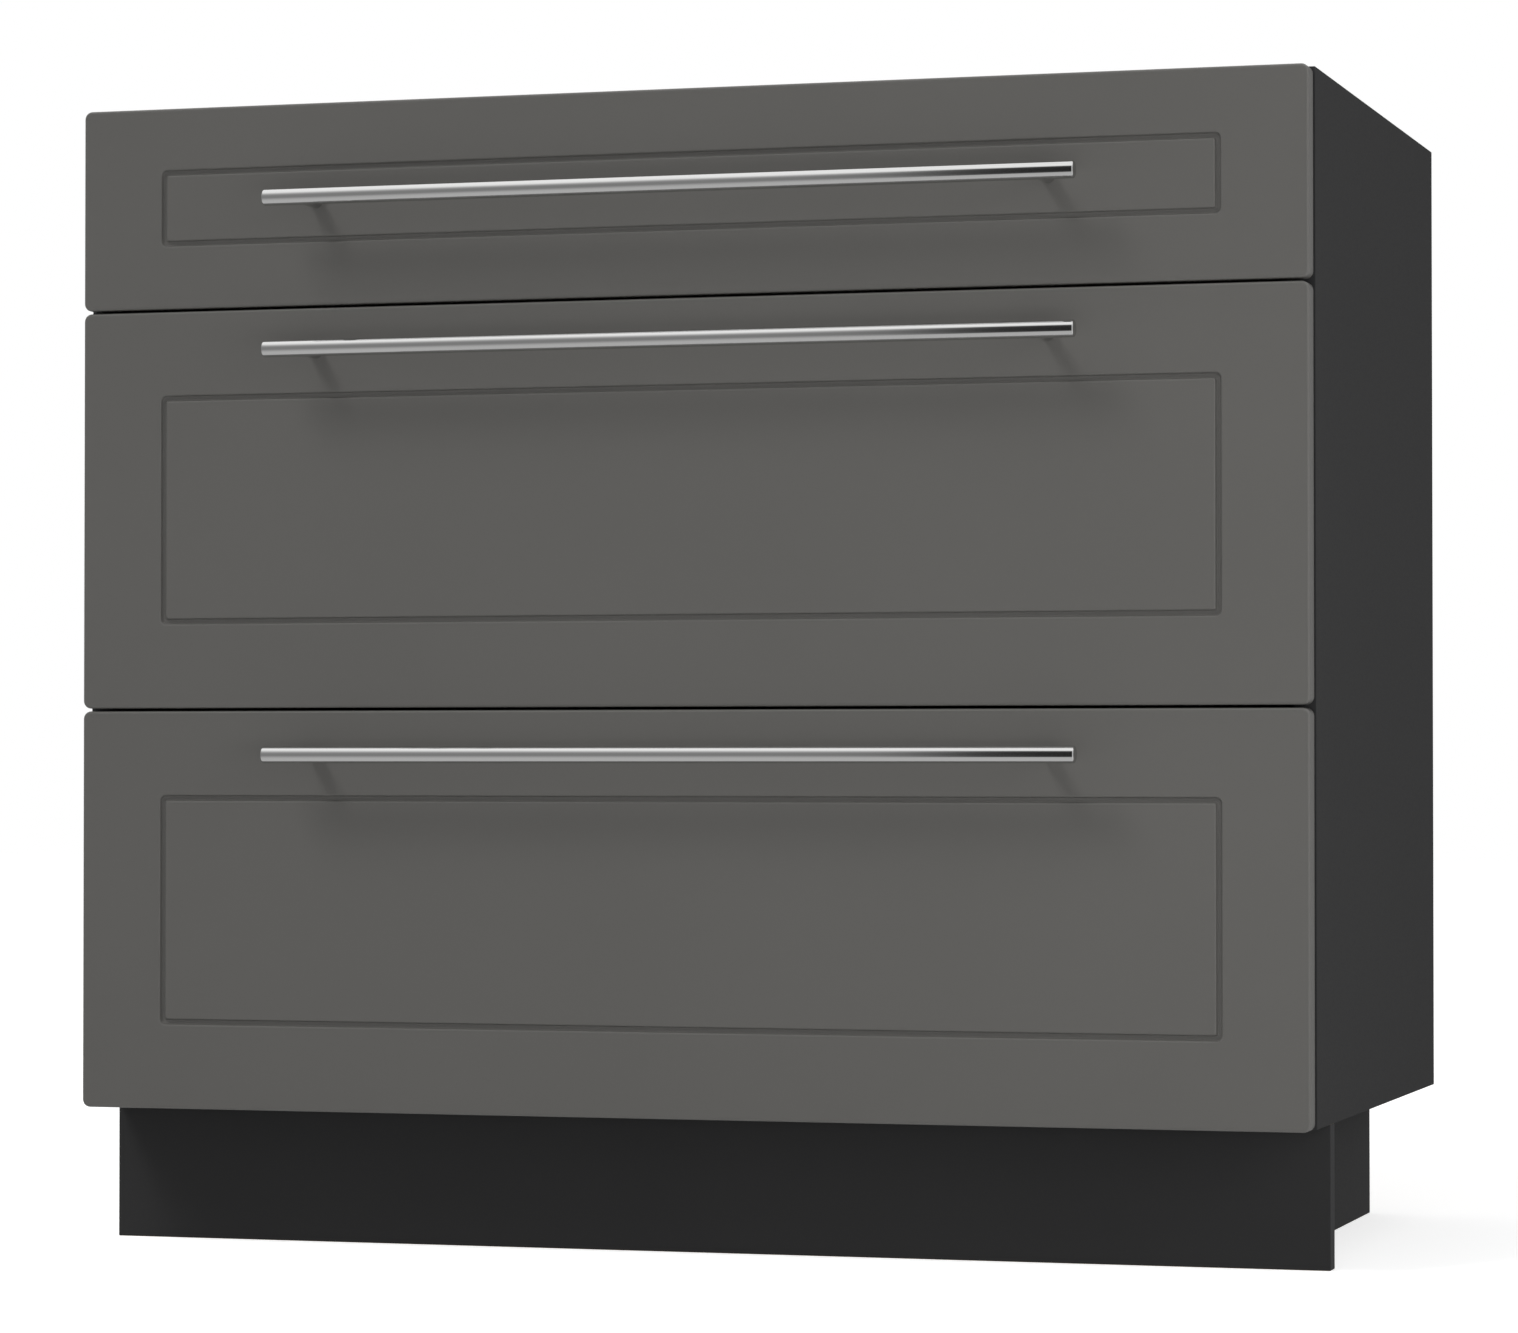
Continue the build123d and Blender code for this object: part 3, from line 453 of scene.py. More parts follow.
def softened(corners, radii, steps=4, guard=0.5 * MM):
    """The path through corners, with an arc in place of each. With u and v the unit directions from a
    corner to its neighbours and h half the angle between them, the arc's centre is the corner plus
    (u + v) / |u + v| * r / sin h, and it ends r / tan h from the corner. Outside each arc a guard point,
    at most 0.3 of the straight run away, keeps the flat beyond it flat to the light. A radius of 0 keeps
    a corner sharp."""
    corners = np.asarray(corners, float)
    radii = np.broadcast_to(np.asarray(radii, float), len(corners))
    to_last = np.roll(corners, 1, axis=0) - corners
    to_next = np.roll(corners, -1, axis=0) - corners
    runs = np.linalg.norm(to_next, axis=1)
    u = to_last / np.linalg.norm(to_last, axis=1)[:, None]
    v = to_next / runs[:, None]
    half = np.arccos(np.clip((u * v).sum(1), -1, 1)) / 2
    cut = radii / np.maximum(np.tan(half), TINY)
    free = np.maximum(runs - cut - np.roll(cut, -1), 0)
    ahead = np.where(radii > 0, np.minimum(guard, 0.3 * free), 0)
    behind = np.where(radii > 0, np.minimum(guard, 0.3 * np.roll(free, 1)), 0)
    middle = (u + v) / np.maximum(np.linalg.norm(u + v, axis=1), TINY)[:, None]
    centre = corners + middle * (radii / np.maximum(np.sin(half), TINY))[:, None]
    start, stop = corners + u * cut[:, None], corners + v * cut[:, None]
    sweep = np.maximum(np.pi - 2 * half, TINY)[:, None, None]
    share = np.linspace(0, 1, steps + 1)[None, :, None]
    arcs = centre[:, None] + (np.sin((1 - share) * sweep) * (start - centre)[:, None]
                              + np.sin(share * sweep) * (stop - centre)[:, None]) / np.sin(sweep)
    before, after = start + u * behind[:, None], stop + v * ahead[:, None]
    path = np.concatenate([before[:, None], arcs, after[:, None]], axis=1).reshape(-1, 2)
    moved_on = np.linalg.norm(np.diff(path, axis=0), axis=1) > 10 * TINY
    return path[np.r_[True, moved_on]]


def rectangles(x, z, half_width, half_height, radius, level, steps=6):
    """Rings of rectangles with rounded corners, one a row: with t running round each corner's quarter,
    a point is (x ± (w - r) + r cos t, level, z ± (h - r) + r sin t)."""
    turn = (np.arange(4)[:, None] * np.pi / 2 + np.linspace(0, np.pi / 2, steps + 1)).ravel()
    right = np.repeat([1, -1, -1, 1], steps + 1)
    up = np.repeat([1, 1, -1, -1], steps + 1)
    columns = [np.asarray(value, float)[:, None] for value in np.broadcast_arrays(
        x, z, half_width, half_height, radius, level)]
    x, z, half_width, half_height, radius, level = columns
    return np.stack([x + right * (half_width - radius) + radius * np.cos(turn),
                     level + 0 * turn,
                     z + up * (half_height - radius) + radius * np.sin(turn)], axis=-1)


def turned(origin, axis, profile, around=40):
    """A turned skin: a profile point (radius r, place p) becomes the ring
    origin + axis * p + r * (e1 cos t + e2 sin t), with e1 and e2 square to the axis."""
    axis = np.asarray(axis, float)
    first = np.cross(axis, (0, 0, 1.0) if abs(axis[2]) < 0.9 else (1.0, 0, 0))
    first /= np.linalg.norm(first)
    second = np.cross(axis, first)
    turn = np.arange(around) * 2 * np.pi / around
    spokes = np.cos(turn)[:, None] * first + np.sin(turn)[:, None] * second
    profile = np.asarray(profile, float)
    return np.asarray(origin, float) + axis * profile[:, 1, None, None] + spokes * profile[:, 0, None, None]


def board(low, high, edge=0.4 * MM):
    """A board between two corners: rounded rectangles stacked through its thickness, each set in by
    what the edge's quarter round takes off at its level. Its faces start three edge radii in, and the
    corners of its outline have one and a half."""
    low, high = np.array(low, float), np.array(high, float)
    middle, size = (low + high) / 2, high - low
    thin = int(np.argmin(size))
    wide, tall = [axis for axis in range(3) if axis != thin]
    inset, level = softened([(3 * edge, 0), (0, 0), (0, size[thin]), (3 * edge, size[thin])],
                            [0, edge, edge, 0], steps=3, guard=edge).T
    rings = rectangles(middle[wide], middle[tall], size[wide] / 2 - inset, size[tall] / 2 - inset,
                       np.maximum(1.5 * edge - inset, 0.5 * edge), low[thin] + level, steps=3)
    grid = np.empty_like(rings)
    grid[..., wide], grid[..., thin], grid[..., tall] = rings[..., 0], rings[..., 1], rings[..., 2]
    return grid


def folded(section, start, stop):
    """Sheet steel of one section along Y. The section is a closed outline of (x, z) points, repeated
    close to both ends so that they stay crisp."""
    near_end = 0.4 * MM
    stations = np.array([start, start + near_end, stop - near_end, stop])
    grid = np.empty((len(stations), len(section), 3))
    grid[..., 0], grid[..., 1], grid[..., 2] = section[:, 0], stations[:, None], section[:, 1]
    return grid


class Skins:
    """Closed skins that make one piece. Each is a grid of points whose columns run round it; its first
    and last rows are closed by a flat face, or joined to each other where the grid is hollow."""

    def __init__(self):
        self.points, self.faces, self.marks, self.count = [], [], [], 0

    def add(self, grid, mark=0, hollow=False, by_facing=None):
        """mark is the finish's number, or one for each row of faces from the first end to the last.
        by_facing gives faces that look along an axis their own, as {(axis, sign): number}. A grid that
        comes out with a negative volume has its faces turned round."""
        rows, columns = grid.shape[:2]
        index = np.arange(rows * columns).reshape(rows, columns)
        beside, above = np.roll(index, -1, axis=1), np.roll(index, -1, axis=0)
        across = np.roll(above, -1, axis=1)
        quads = np.stack([index, beside, across, above], axis=-1)
        quads = quads if hollow else quads[:-1]
        row_marks = np.broadcast_to(mark, len(quads) + 2)
        marks = np.repeat(row_marks[1:-1], columns)
        quads = quads.reshape(-1, 4)
        flat = grid.reshape(-1, 3)
        ends = [] if hollow else [index[0][::-1], index[-1]]
        volume = sum(self.sextuple(flat, quads[:, corner]) for corner in ([0, 1, 2], [0, 2, 3]))
        for end in ends:
            fan = np.stack([np.full(columns, end[0]), end, np.roll(end, -1)], axis=-1)
            volume += self.sextuple(flat, fan)
        faces = quads.tolist() + [end.tolist() for end in ends]
        if volume < 0:
            faces = [face[::-1] for face in faces]
        if ends:
            marks = np.r_[marks, row_marks[0], row_marks[-1]]
        if by_facing:
            marks = self.faced(flat, faces, marks, by_facing)
        self.points.append(flat)
        self.faces += [[corner + self.count for corner in face] for face in faces]
        self.marks.append(marks)
        self.count += len(flat)

    @staticmethod
    def sextuple(points, triangles):
        """Six times the volume between triangles and the origin: the sum of a . (b x c)."""
        a, b, c = (points[triangles[:, corner]] for corner in range(3))
        return (a * np.cross(b, c)).sum()

    @staticmethod
    def faced(points, faces, marks, by_facing):
        """The marks, changed where a face's normal lies along one of the given directions."""
        first = np.array([face[:3] for face in faces])
        last = np.array([face[-1] for face in faces])
        normal = np.cross(points[first[:, 2]] - points[first[:, 0]], points[last] - points[first[:, 1]])
        axis = np.abs(normal).argmax(axis=1)
        sign = np.sign(np.take_along_axis(normal, axis[:, None], axis=1)[:, 0])
        marks = np.array(marks)
        for (wanted_axis, wanted_sign), number in by_facing.items():
            marks[(axis == wanted_axis) & (sign == wanted_sign)] = number
        return marks

    def piece(self, name, body, nodes, finishes, slot):
        """The finished piece: one mesh, smooth but for its hard edges."""
        mesh = bpy.data.meshes.new(name)
        mesh.from_pydata(np.concatenate(self.points), [], self.faces)
        for material in finishes:
            mesh.materials.append(material)
        mesh.polygons.foreach_set("material_index", np.concatenate(self.marks).astype(np.int32))
        mesh.polygons.foreach_set("use_smooth", np.ones(len(self.faces), bool))
        mesh.set_sharp_from_angle(angle=radians(SHARP_ANGLE))
        mesh.update()
        made = bpy.data.objects.new(name, mesh)
        bpy.context.scene.collection.objects.link(made)
        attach(made, body)
        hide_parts(*nodes)


# ---- The studio ----------------------------------------------------------------------------------
# What a shine shows of the walls: (height of the look from -1 straight down to 1 straight up, strength).
WALL_GLOW = [(-1.0, 0.62), (1.0, 0.95), (-0.70, 0.60), (-0.42, 0.44), (-0.22, 0.30), (0.22, 0.30),
             (0.45, 0.43), (0.66, 0.74), (0.80, 1.15), (0.95, 1.25)]
BRIGHTEST_WALL = 1.25
SIDE_WALL_GLOW = 0.45
DOORWAY_DARKNESS = 0.93
ROOM_GLOW = 0.26, 0.46      # what matt surfaces get from level and from overhead
FLOOR_HALF, FLOOR_DROP = 14.0, 0.1 * MM
FLOOR_GLOW = 0.62


def studio_world():
    """White to the camera. Matt surfaces see a pale room that is brighter overhead. Metal and gloss see a
    studio: bright overhead, grey at eye height, paler again towards the floor and on the right, with a
    dark doorway in front of the cabinet."""
    world = bpy.data.worlds.new("studio")
    world.use_nodes = True
    bench = Bench(world.node_tree)
    sideways = bench.along(bench.node("ShaderNodeTexCoord", output="Generated"), "X")
    depth, height = sideways.also("Y"), sideways.also("Z")
    stops = [(0.5 + 0.5 * level, (glow / BRIGHTEST_WALL,) * 3) for level, glow in WALL_GLOW]
    walls = BRIGHTEST_WALL * bench.node("ShaderNodeValToRGB", {"stops": stops}, {"Fac": 0.5 + 0.5 * height})
    left_jamb = bench.rise(sideways, -0.265, -0.243)
    right_jamb = bench.rise(sideways, 0.20, 0.40, 1.0, 0.0)
    in_front = bench.rise(depth, -0.3, 0.0, 1.0, 0.0)
    threshold = bench.rise(height, -0.60, -0.50)
    lintel = bench.rise(height, 0.60, 0.72, 1.0, 0.0)
    doorway = left_jamb * right_jamb * in_front * threshold * lintel
    side_wall = SIDE_WALL_GLOW * bench.rise(sideways, 0.50, 0.80)
    studio = (walls + side_wall) * (1.0 - DOORWAY_DARKNESS * doorway)
    room = bench.rise(height, 0.0, 0.9, *ROOM_GLOW)
    glossy = bench.node("ShaderNodeLightPath", output="Is Glossy Ray")
    seen = bench.background()
    strength = seen + (1.0 - seen) * (glossy * studio + (1.0 - glossy) * room)
    shade = bench.node("ShaderNodeBackground", {}, {"Color": (1.0, 1.0, 1.0, 1.0), "Strength": strength})
    bench.node("ShaderNodeOutputWorld", {}, {"Surface": shade})
    bpy.context.scene.world = world


def studio_floor():
    """A plain pale floor: one square just under the plinth, white to the camera except in the soft
    shadow that its own matt paint keeps."""
    corners = np.array([(-1, -1), (1, -1), (1, 1), (-1, 1)]) * FLOOR_HALF
    mesh = bpy.data.meshes.new("floor")
    mesh.from_pydata(np.c_[corners, np.full(4, -FLOOR_DROP)], [], [[0, 1, 2, 3]])
    material, bench = finish("pale_floor")
    clouds = bench.noise(bench.place(), scale=1.5, detail=2.0)
    paint = bench.node("ShaderNodeBsdfDiffuse", {}, {
        "Color": bench.blend(clouds, (0.88, 0.88, 0.88), (0.90, 0.90, 0.90))})
    glow = bench.node("ShaderNodeEmission", {}, {
        "Color": (1.0, 1.0, 1.0, 1.0), "Strength": FLOOR_GLOW * bench.background()})
    bench.node("ShaderNodeOutputMaterial", {}, {
        "Surface": bench.node("ShaderNodeAddShader", {}, {0: paint, 1: glow})})
    mesh.materials.append(material)
    floor = bpy.data.objects.new("floor", mesh)
    bpy.context.scene.collection.objects.link(floor)
    floor.visible_glossy = False


photographer()
studio_world()
studio_floor()
soft_light("window_light", (-3.5, -4.6, 6.9), aim=(0.0, -0.24, 0.45), width=2.8, height=2.6, power=340.0)
soft_light("room_light", (2.5, -1.7, 0.95), aim=(0.4, -0.24, 0.40), width=2.4, height=1.8, power=28.0)
soft_light("low_light", (0.8, -1.7, 0.20), aim=(0.15, -0.24, 0.25), width=1.8, height=0.3, power=5.5)

# ---- Finishes on their pieces --------------------------------------------------------------------
foil = grey_foil()
melamine = dark_melamine()
band = edge_band()
raw_edge = chipboard()
sawn_rail = rail_board()
back_low, back_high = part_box("back_panel")
hardboard = coated_hardboard((back_low.y + back_high.y) / 2)
drawer_melamine = light_melamine()
pine = planed_pine()
beech = turned_beech()
stainless = brushed_stainless()
coat = powder_coat()
rail_zinc = zinc_plate("rail_zinc", (0.60, 0.61, 0.62), (0.52, 0.53, 0.55), dull=0.30)
screw_zinc = zinc_plate("screw_zinc", (0.64, 0.65, 0.66), (0.55, 0.56, 0.58), dull=0.22)
nylon = white_nylon()
plastic = grey_plastic()
rubber = soft_rubber()

# The solids that show themselves, each in its finish.
carried_over = {
    "top_rail_front": sawn_rail, "top_rail_rear": sawn_rail, "bottom_panel": sawn_rail,
    "back_panel": hardboard, "plinth_corner_blocks": pine, "plinth_screws": screw_zinc,
    "cam_locks": screw_zinc, "cam_bolts": screw_zinc, "wood_dowels": beech, "rail_screws": screw_zinc,
    "front_roller_pins": screw_zinc,
    **{f"drawer_bottom_{drawer}": drawer_melamine for drawer in DRAWERS},
    **{f"front_brackets_{drawer}": rail_zinc for drawer in DRAWERS},
    **{f"drawer_fasteners_{drawer}": screw_zinc for drawer in DRAWERS},
    **{f"rear_roller_pins_{drawer}": screw_zinc for drawer in DRAWERS},
}
for node, material in carried_over.items():
    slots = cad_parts[node].data.materials
    if len(slots):
        for number in range(len(slots)):
            slots[number] = material
    else:
        slots.append(material)


# ---- Fronts --------------------------------------------------------------------------------------
# In millimetres. The margins run from the front's edges to the groove: above and below it, and beside it.
GROOVE_MARGINS = {"bottom": (60.3, 60.3), "middle": (60.3, 60.3), "top": (44.3, 45.1)}
SIDE_MARGIN = 60.3
# Across the groove: (how far in from its outer lip, how deep), with the radius at each corner.
GROOVE_PATH = [(-2.0, 0), (0, 0), (0.88, 2.7), (3.62, 2.7), (4.5, 0), (6.5, 0)]
GROOVE_RADII = [0, 1.1, 0.8, 0.8, 1.1, 0]
GROOVE_CORNER = 4.5
BACK_RIM, FACE_RIM = 0.5, 2.0
FRONT_CORNER = 5.5
LEAST_CORNER, MOST_CORNER = 1.5, 6.0
FOIL_SIDE, BACK_SIDE = 0, 1


def front_panel(drawer):
    """A routed front: rings of rounded rectangles from the middle of its back, over its rounded rim and
    down through the groove, to the middle of its face."""
    low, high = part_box(f"drawer_front_{drawer}")
    thick = high.y - low.y
    above, below = (margin * MM for margin in GROOVE_MARGINS[drawer])
    half_width, half_height = (high.x - low.x) / 2, (high.z - low.z) / 2
    middle_z = (low.z + high.z) / 2
    inset, level = softened([(2.5 * MM, thick), (0, thick), (0, 0), (5.0 * MM, 0)],
                            [0, BACK_RIM * MM, FACE_RIM * MM, 0], steps=8).T
    rim_rings = rectangles(0, middle_z, half_width - inset, half_height - inset,
                           np.maximum(FRONT_CORNER * MM - inset, LEAST_CORNER * MM), low.y + level)
    inset, level = MM * softened(GROOVE_PATH, GROOVE_RADII, steps=5, guard=0.4).T
    groove_rings = rectangles(0, middle_z + (below - above) / 2, half_width - SIDE_MARGIN * MM - inset,
                              half_height - (above + below) / 2 - inset,
                              np.clip(GROOVE_CORNER * MM - inset, LEAST_CORNER * MM, MOST_CORNER * MM),
                              low.y + level)
    rings = np.concatenate([rim_rings, groove_rings])
    marks = np.full(len(rings) + 1, FOIL_SIDE)
    marks[:2] = BACK_SIDE       # the back's flat middle and the flat ring round it
    skins = Skins()
    skins.add(rings, mark=marks)
    skins.piece(f"front_{drawer}", f"drawer_{drawer}", [f"drawer_front_{drawer}"], [foil, melamine],
                "front_foil")


# ---- Handles -------------------------------------------------------------------------------------
POST_RADIUS = 5.0           # in millimetres
POST_PROFILE = [(-1.0, 0), (-0.3, 0), (0, 0.3), (0, 1.2)]   # (beyond the post's radius, off the front)
SADDLE = [[0.1], [-0.4], [-0.4]]    # how far the post's last rings lie behind the bar's surface


def handle(drawer):
    """A round bar with broken ends on two posts. Both are turned, and a post's last rings lie round the
    bar's back: at a height of h over its middle, sqrt(R^2 - h^2) behind the middle."""
    low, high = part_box(f"handle_bar_{drawer}")
    radius, middle_y, middle_z = (high.z - low.z) / 2, (low.y + high.y) / 2, (low.z + high.z) / 2
    flat, broken = radius - 2.0 * MM, 1.2 * MM
    profile = softened([(flat, low.x), (radius, low.x), (radius, high.x), (flat, high.x)],
                       [0, broken, broken, 0], steps=4)
    bar = Skins()
    bar.add(turned((0, middle_y, middle_z), (1, 0, 0), profile, around=72))
    bar.piece(f"bar_{drawer}", f"drawer_{drawer}", [f"handle_bar_{drawer}"], [stainless], "handle_steel")

    post_low, post_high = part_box(f"handle_posts_{drawer}")
    post_radius = POST_RADIUS * MM
    reach = post_high.y - middle_y
    profile = [(post_radius + beyond * MM, level * MM) for beyond, level in POST_PROFILE]
    profile += [(post_radius, reach - radius), (post_radius, reach), (post_radius / 2, reach)]
    posts = Skins()
    for x in (post_low.x + post_radius, post_high.x - post_radius):
        grid = turned((x, post_high.y, middle_z), (0, -1, 0), profile, around=32)
        saddle = grid[-len(SADDLE):]
        rise = saddle[:, :, 2] - middle_z
        saddle[:, :, 1] = middle_y + np.sqrt(radius ** 2 - rise ** 2) + np.array(SADDLE) * MM
        posts.add(grid)
    posts.piece(f"posts_{drawer}", f"drawer_{drawer}", [f"handle_posts_{drawer}"], [stainless],
                "handle_steel")


# ---- Boards --------------------------------------------------------------------------------------
BAND, SAWN = 1, 2
LEFT_END, RIGHT_END, FRONT_EDGE, BACK_EDGE, UNDERSIDE, TOP = [
    (axis, sign) for axis in range(3) for sign in (-1, 1)]
SIDE_PANEL_EDGES = {FRONT_EDGE: BAND, TOP: BAND, BACK_EDGE: SAWN, UNDERSIDE: BAND}
PLINTH_SIDE_EDGES = {FRONT_EDGE: BAND, BACK_EDGE: BAND, TOP: SAWN, UNDERSIDE: SAWN}
PLINTH_BOARD_EDGES = {LEFT_END: BAND, RIGHT_END: BAND, TOP: SAWN, UNDERSIDE: SAWN}


def dark_board(node, by_facing):
    """A melamine board whose narrow faces are banded or sawn, as by_facing says."""
    skins = Skins()
    skins.add(board(*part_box(node)), by_facing=by_facing)
    skins.piece(f"{node}_board", "cabinet", [node], [melamine, band, raw_edge], "carcass_board")


def drawer_back(drawer):
    """The light board that closes a drawer box at the back."""
    skins = Skins()
    skins.add(board(*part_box(f"drawer_back_{drawer}")))
    skins.piece(f"back_board_{drawer}", f"drawer_{drawer}", [f"drawer_back_{drawer}"], [drawer_melamine],
                "drawer_board")


# ---- Steel sides and rails -----------------------------------------------------------------------
# In millimetres. Sections are (distance from the side panel's inner face, height over the side's foot).
INNER_HALF = 434.0      # from the middle of the cabinet to a side panel's inner face
SIDE_SECTION = [(12.5, 0), (26.0, 0), (26.0, 1.0), (13.5, 1.0), (13.5, 86.0), (8.5, 86.0), (8.5, 81.0),
                (9.5, 81.0), (9.5, 85.0), (12.5, 85.0), (12.5, 25.8), (1.7, 25.8), (1.7, 23.8), (12.5, 23.8)]
SIDE_RADII = [1.8, 0.3, 0.3, 0.8, 1.8, 1.8, 0.3, 0.3, 0.8, 0.8, 0.8, 0.95, 0.95, 0.8]
RAIL_SHEET, RAIL_WIDTH, RAIL_HEIGHT = 1.2, 11.0, 23.0
RAIL_FOOT = [(0, 0), (RAIL_WIDTH, 0), (RAIL_WIDTH, RAIL_SHEET), (RAIL_SHEET, RAIL_SHEET)]
RAIL_FOOT_RADII = [1.8, 0.35, 0.35, 0.6]
OPEN_LENGTH, LAP = 26.0, 0.5        # of the rail's front without an upper flange, and into its channel
TAB_BACK, TAB_SIDES, TAB_LEVELS = 73.2, (0.8, 10.8), (16.8, 22.4)   # the tab's back is from the rail's front


def sheet_section(corners, radii, steps, side, foot, guard=0.5 * MM):
    """A sheet's outline with its bends rounded, as (x, z) points on one side of the cabinet. Corners,
    radii and guard are in millimetres, side is -1 on the left and 1 on the right."""
    outline = softened(corners, radii, steps=steps, guard=guard)
    return np.c_[side * (INNER_HALF - outline[:, 0]) * MM, foot + outline[:, 1] * MM]


def steel_side(drawer, hand):
    """A drawer's steel side: a ledge for the bottom board, a flange that runs on the roller and a
    folded upper edge, all of one sheet bent round small radii."""
    node = f"drawer_side_{hand}_{drawer}"
    low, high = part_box(node)
    section = sheet_section(SIDE_SECTION, SIDE_RADII, 5, HANDS[hand], low.z, guard=0.5)
    skins = Skins()
    skins.add(folded(section, low.y, high.y))
    skins.piece(f"steel_{hand}_{drawer}", f"drawer_{drawer}", [node], [coat], "side_steel")


def carcass_rails(hand):
    """The three rails screwed to one side panel: channels whose upper flange starts behind the front
    roller, with a small tab bent down that stops the drawer."""
    side = HANDS[hand]
    node = f"cabinet_rails_{hand}"
    low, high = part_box(node)
    cut, tab_back = low.y + OPEN_LENGTH * MM, low.y + TAB_BACK * MM
    left, right = sorted(side * (INNER_HALF - inset) * MM for inset in TAB_SIDES)
    angle = [*RAIL_FOOT, (RAIL_SHEET, RAIL_HEIGHT), (0, RAIL_HEIGHT)]
    channel = [*RAIL_FOOT, (RAIL_SHEET, RAIL_HEIGHT - RAIL_SHEET), (RAIL_WIDTH, RAIL_HEIGHT - RAIL_SHEET),
               (RAIL_WIDTH, RAIL_HEIGHT), (0, RAIL_HEIGHT)]
    skins = Skins()
    for drawer in DRAWERS:
        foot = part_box(f"drawer_side_{hand}_{drawer}")[0].z
        for corners, radii, start, stop in ((angle, [0.35, 0.35], low.y, cut + LAP * MM),
                                            (channel, [0.6, 0.35, 0.35, 1.8], cut, high.y)):
            skins.add(folded(sheet_section(corners, RAIL_FOOT_RADII + radii, 4, side, foot), start, stop))
        skins.add(board((left, tab_back - RAIL_SHEET * MM, foot + TAB_LEVELS[0] * MM),
                        (right, tab_back, foot + TAB_LEVELS[1] * MM), edge=0.3 * MM))
    skins.piece(f"rails_{hand}", "cabinet", [node], [rail_zinc], "rail_steel")


# ---- Rollers, gallery rods and bumpers ------------------------------------------------------------
# In millimetres. Turned profiles are (radius, place along the axis).
ROLLER_WIDTH, ROLLER_DISH = 6.2, 0.5
ROLLER_FACE = [(2.55, 0), (4.6, 0), (5.0, ROLLER_DISH), (8.0, ROLLER_DISH), (8.4, 0), (10.0, 0)]
ROLLER_FACE_RADII = [0.15, 0.15, 0.2, 0.2, 0.15, 0.5]
PLATE_HALF_WIDTH, PLATE_HALF_HEIGHT, PLATE_CORNER, PLATE_THICK = 7.0, 17.0, 2.5, 2.0
SLEEVE = [(5.05, 1.5), (7.0, 1.5), (7.0, 12.0), (5.05, 12.0)]
SLEEVE_RADII = [0.05, 0.05, 0.6, 0.3]
BUMPER_DOME = [(3.9, 0), (4.0, 0.1), (4.0, 0.6), (3.7, 1.1), (3.0, 1.5), (2.0, 1.72), (1.0, 1.8)]
BUMPER_RADIUS, BUMPER_DROP = 4.0, 20.0      # the drop is from the upper edge of each front


def rollers(end, drawer):
    """A pair of nylon rollers, each with a shallow ring sunk in both its faces: the face's profile, and
    its mirror at the roller's other end."""
    node = f"{end}_rollers_{drawer}"
    low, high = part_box(node)
    middle_y, middle_z, width = (low.y + high.y) / 2, (low.z + high.z) / 2, ROLLER_WIDTH * MM
    corners = ROLLER_FACE + [(radius, ROLLER_WIDTH - place) for radius, place in ROLLER_FACE[::-1]]
    profile = MM * softened(corners, ROLLER_FACE_RADII + ROLLER_FACE_RADII[::-1], steps=2, guard=0.2)
    skins = Skins()
    for outer in (low.x, high.x - width):
        skins.add(turned((outer, middle_y, middle_z), (1, 0, 0), profile), hollow=True)
    skins.piece(f"nylon_{end}_{drawer}", node, [node], [nylon], "roller_nylon")


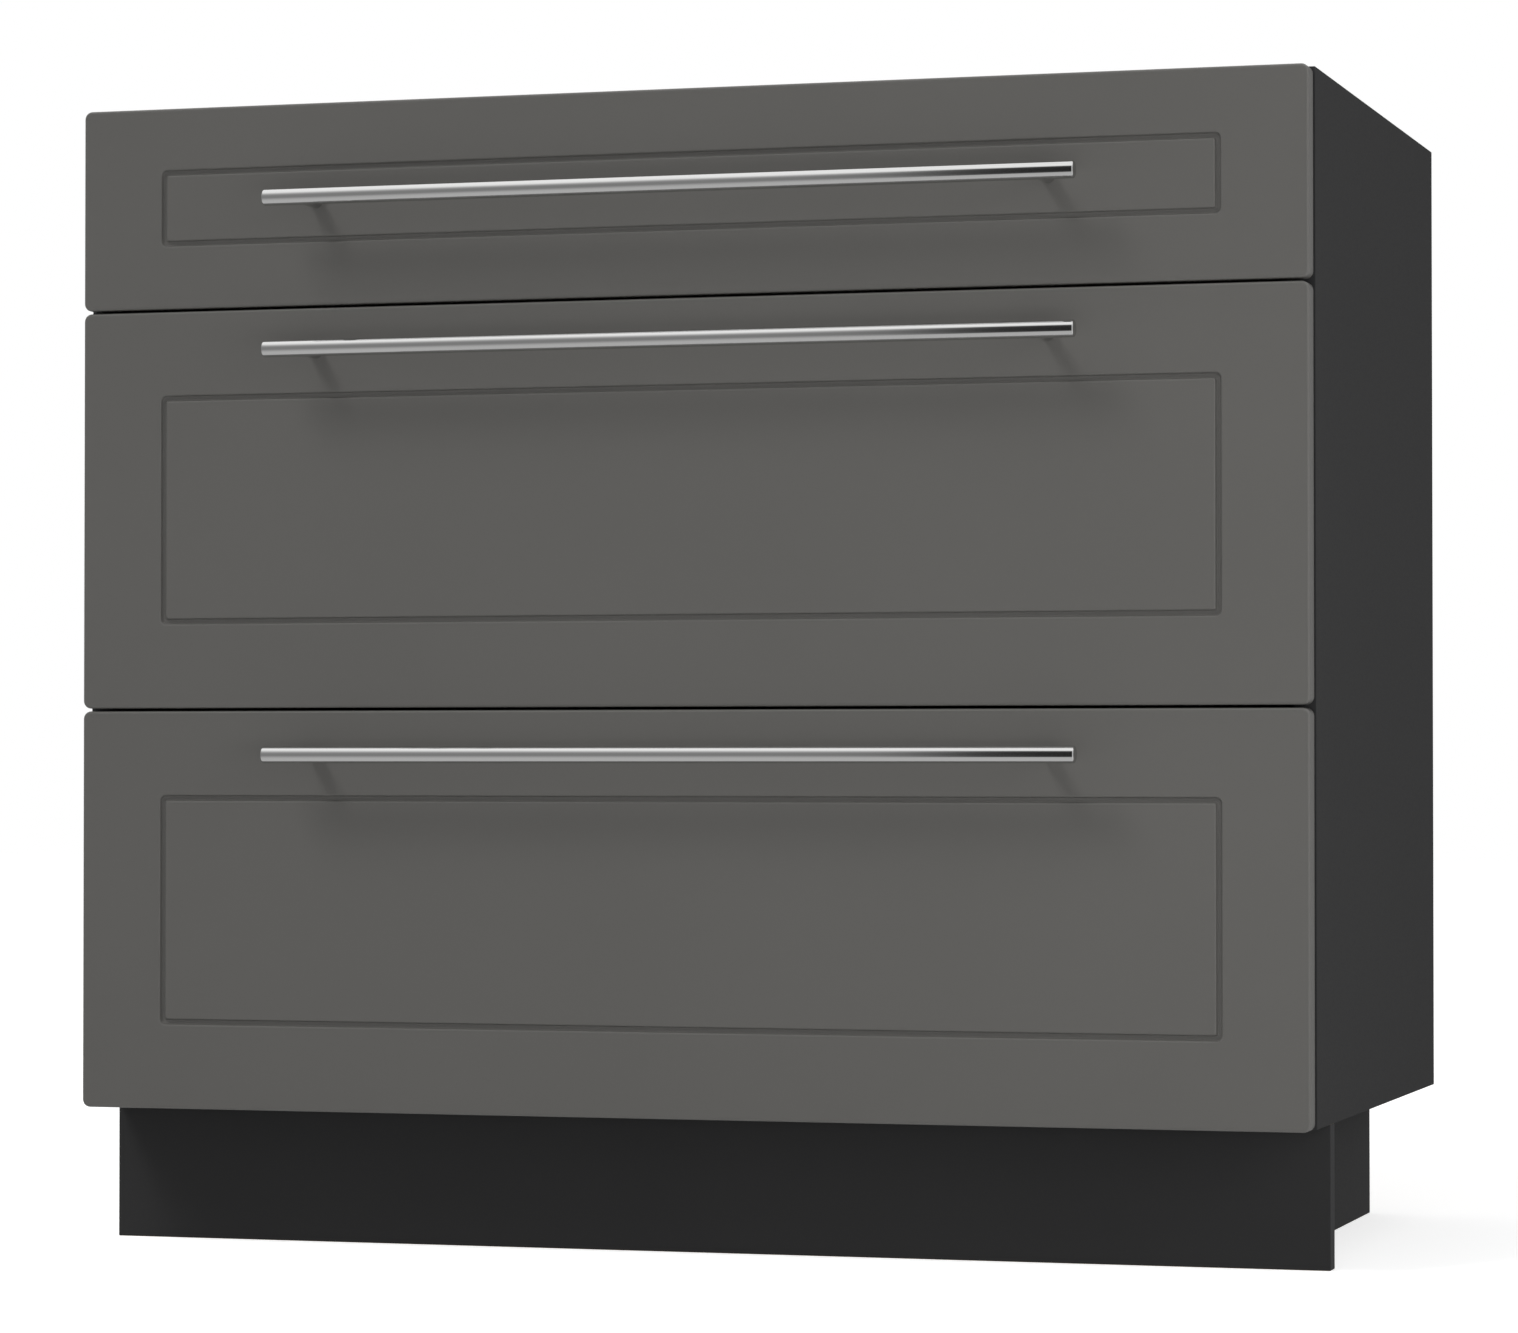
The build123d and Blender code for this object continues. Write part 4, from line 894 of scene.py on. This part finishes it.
def gallery(drawer):
    """The two round rods above a deep drawer's sides, in a plastic sleeve and plate at each end."""
    node = f"gallery_rods_{drawer}"
    low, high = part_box(node)
    radius, middle_z = (high.z - low.z) / 2, (low.z + high.z) / 2
    flat, broken = radius - 1.2 * MM, 0.4 * MM
    rod = softened([(flat, low.y), (radius, low.y), (radius, high.y), (flat, high.y)],
                   [0, broken, broken, 0], steps=3)
    edge, level = MM * softened([(1.2, 0), (0, 0), (0, PLATE_THICK), (1.2, PLATE_THICK)],
                                [0, 0.05, 0.5, 0], steps=3).T
    plate_sizes = (size * MM - edge for size in (PLATE_HALF_WIDTH, PLATE_HALF_HEIGHT, PLATE_CORNER))
    plate_half_width, plate_half_height, plate_corner = plate_sizes
    sleeve = MM * softened(SLEEVE, SLEEVE_RADII, steps=3)
    plate_low, plate_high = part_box(f"gallery_holders_{drawer}")
    rods, holders = Skins(), Skins()
    for x in (low.x + radius, high.x - radius):
        rods.add(turned((x, 0, middle_z), (0, 1, 0), rod, around=32))
        for face, inward in ((plate_low.y, 1), (plate_high.y, -1)):
            holders.add(rectangles(x, middle_z, plate_half_width, plate_half_height, plate_corner,
                                   face + inward * level, steps=4))
            holders.add(turned((x, face, middle_z), (0, inward, 0), sleeve, around=32), hollow=True)
    body = f"drawer_{drawer}"
    rods.piece(f"rods_{drawer}", body, [node], [coat], "side_steel")
    holders.piece(f"holders_{drawer}", body, [f"gallery_holders_{drawer}"], [plastic], "holder_plastic")


def bumpers():
    """Six low rubber domes stuck on the side panels' front edges."""
    low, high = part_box("front_bumpers")
    skins = Skins()
    for drawer in DRAWERS:
        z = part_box(f"drawer_front_{drawer}")[1].z - BUMPER_DROP * MM
        for x in (low.x + BUMPER_RADIUS * MM, high.x - BUMPER_RADIUS * MM):
            skins.add(turned((x, high.y, z), (0, -1, 0), MM * np.array(BUMPER_DOME), around=24))
    skins.piece("rubber_bumpers", "cabinet", ["front_bumpers"], [rubber], "bumper_rubber")


# ---- Putting it together -------------------------------------------------------------------------
for drawer in DRAWERS:
    rollers("front", drawer)
    rollers("rear", drawer)
for drawer in DEEP_DRAWERS:
    gallery(drawer)
bumpers()
for drawer in DRAWERS:
    front_panel(drawer)
    handle(drawer)
    drawer_back(drawer)
    for hand in HANDS:
        steel_side(drawer, hand)
for hand in HANDS:
    dark_board(f"side_panel_{hand}", SIDE_PANEL_EDGES)
    dark_board(f"plinth_side_{hand}", PLINTH_SIDE_EDGES)
    carcass_rails(hand)
dark_board("plinth_front", PLINTH_BOARD_EDGES)
dark_board("plinth_rear", PLINTH_BOARD_EDGES)
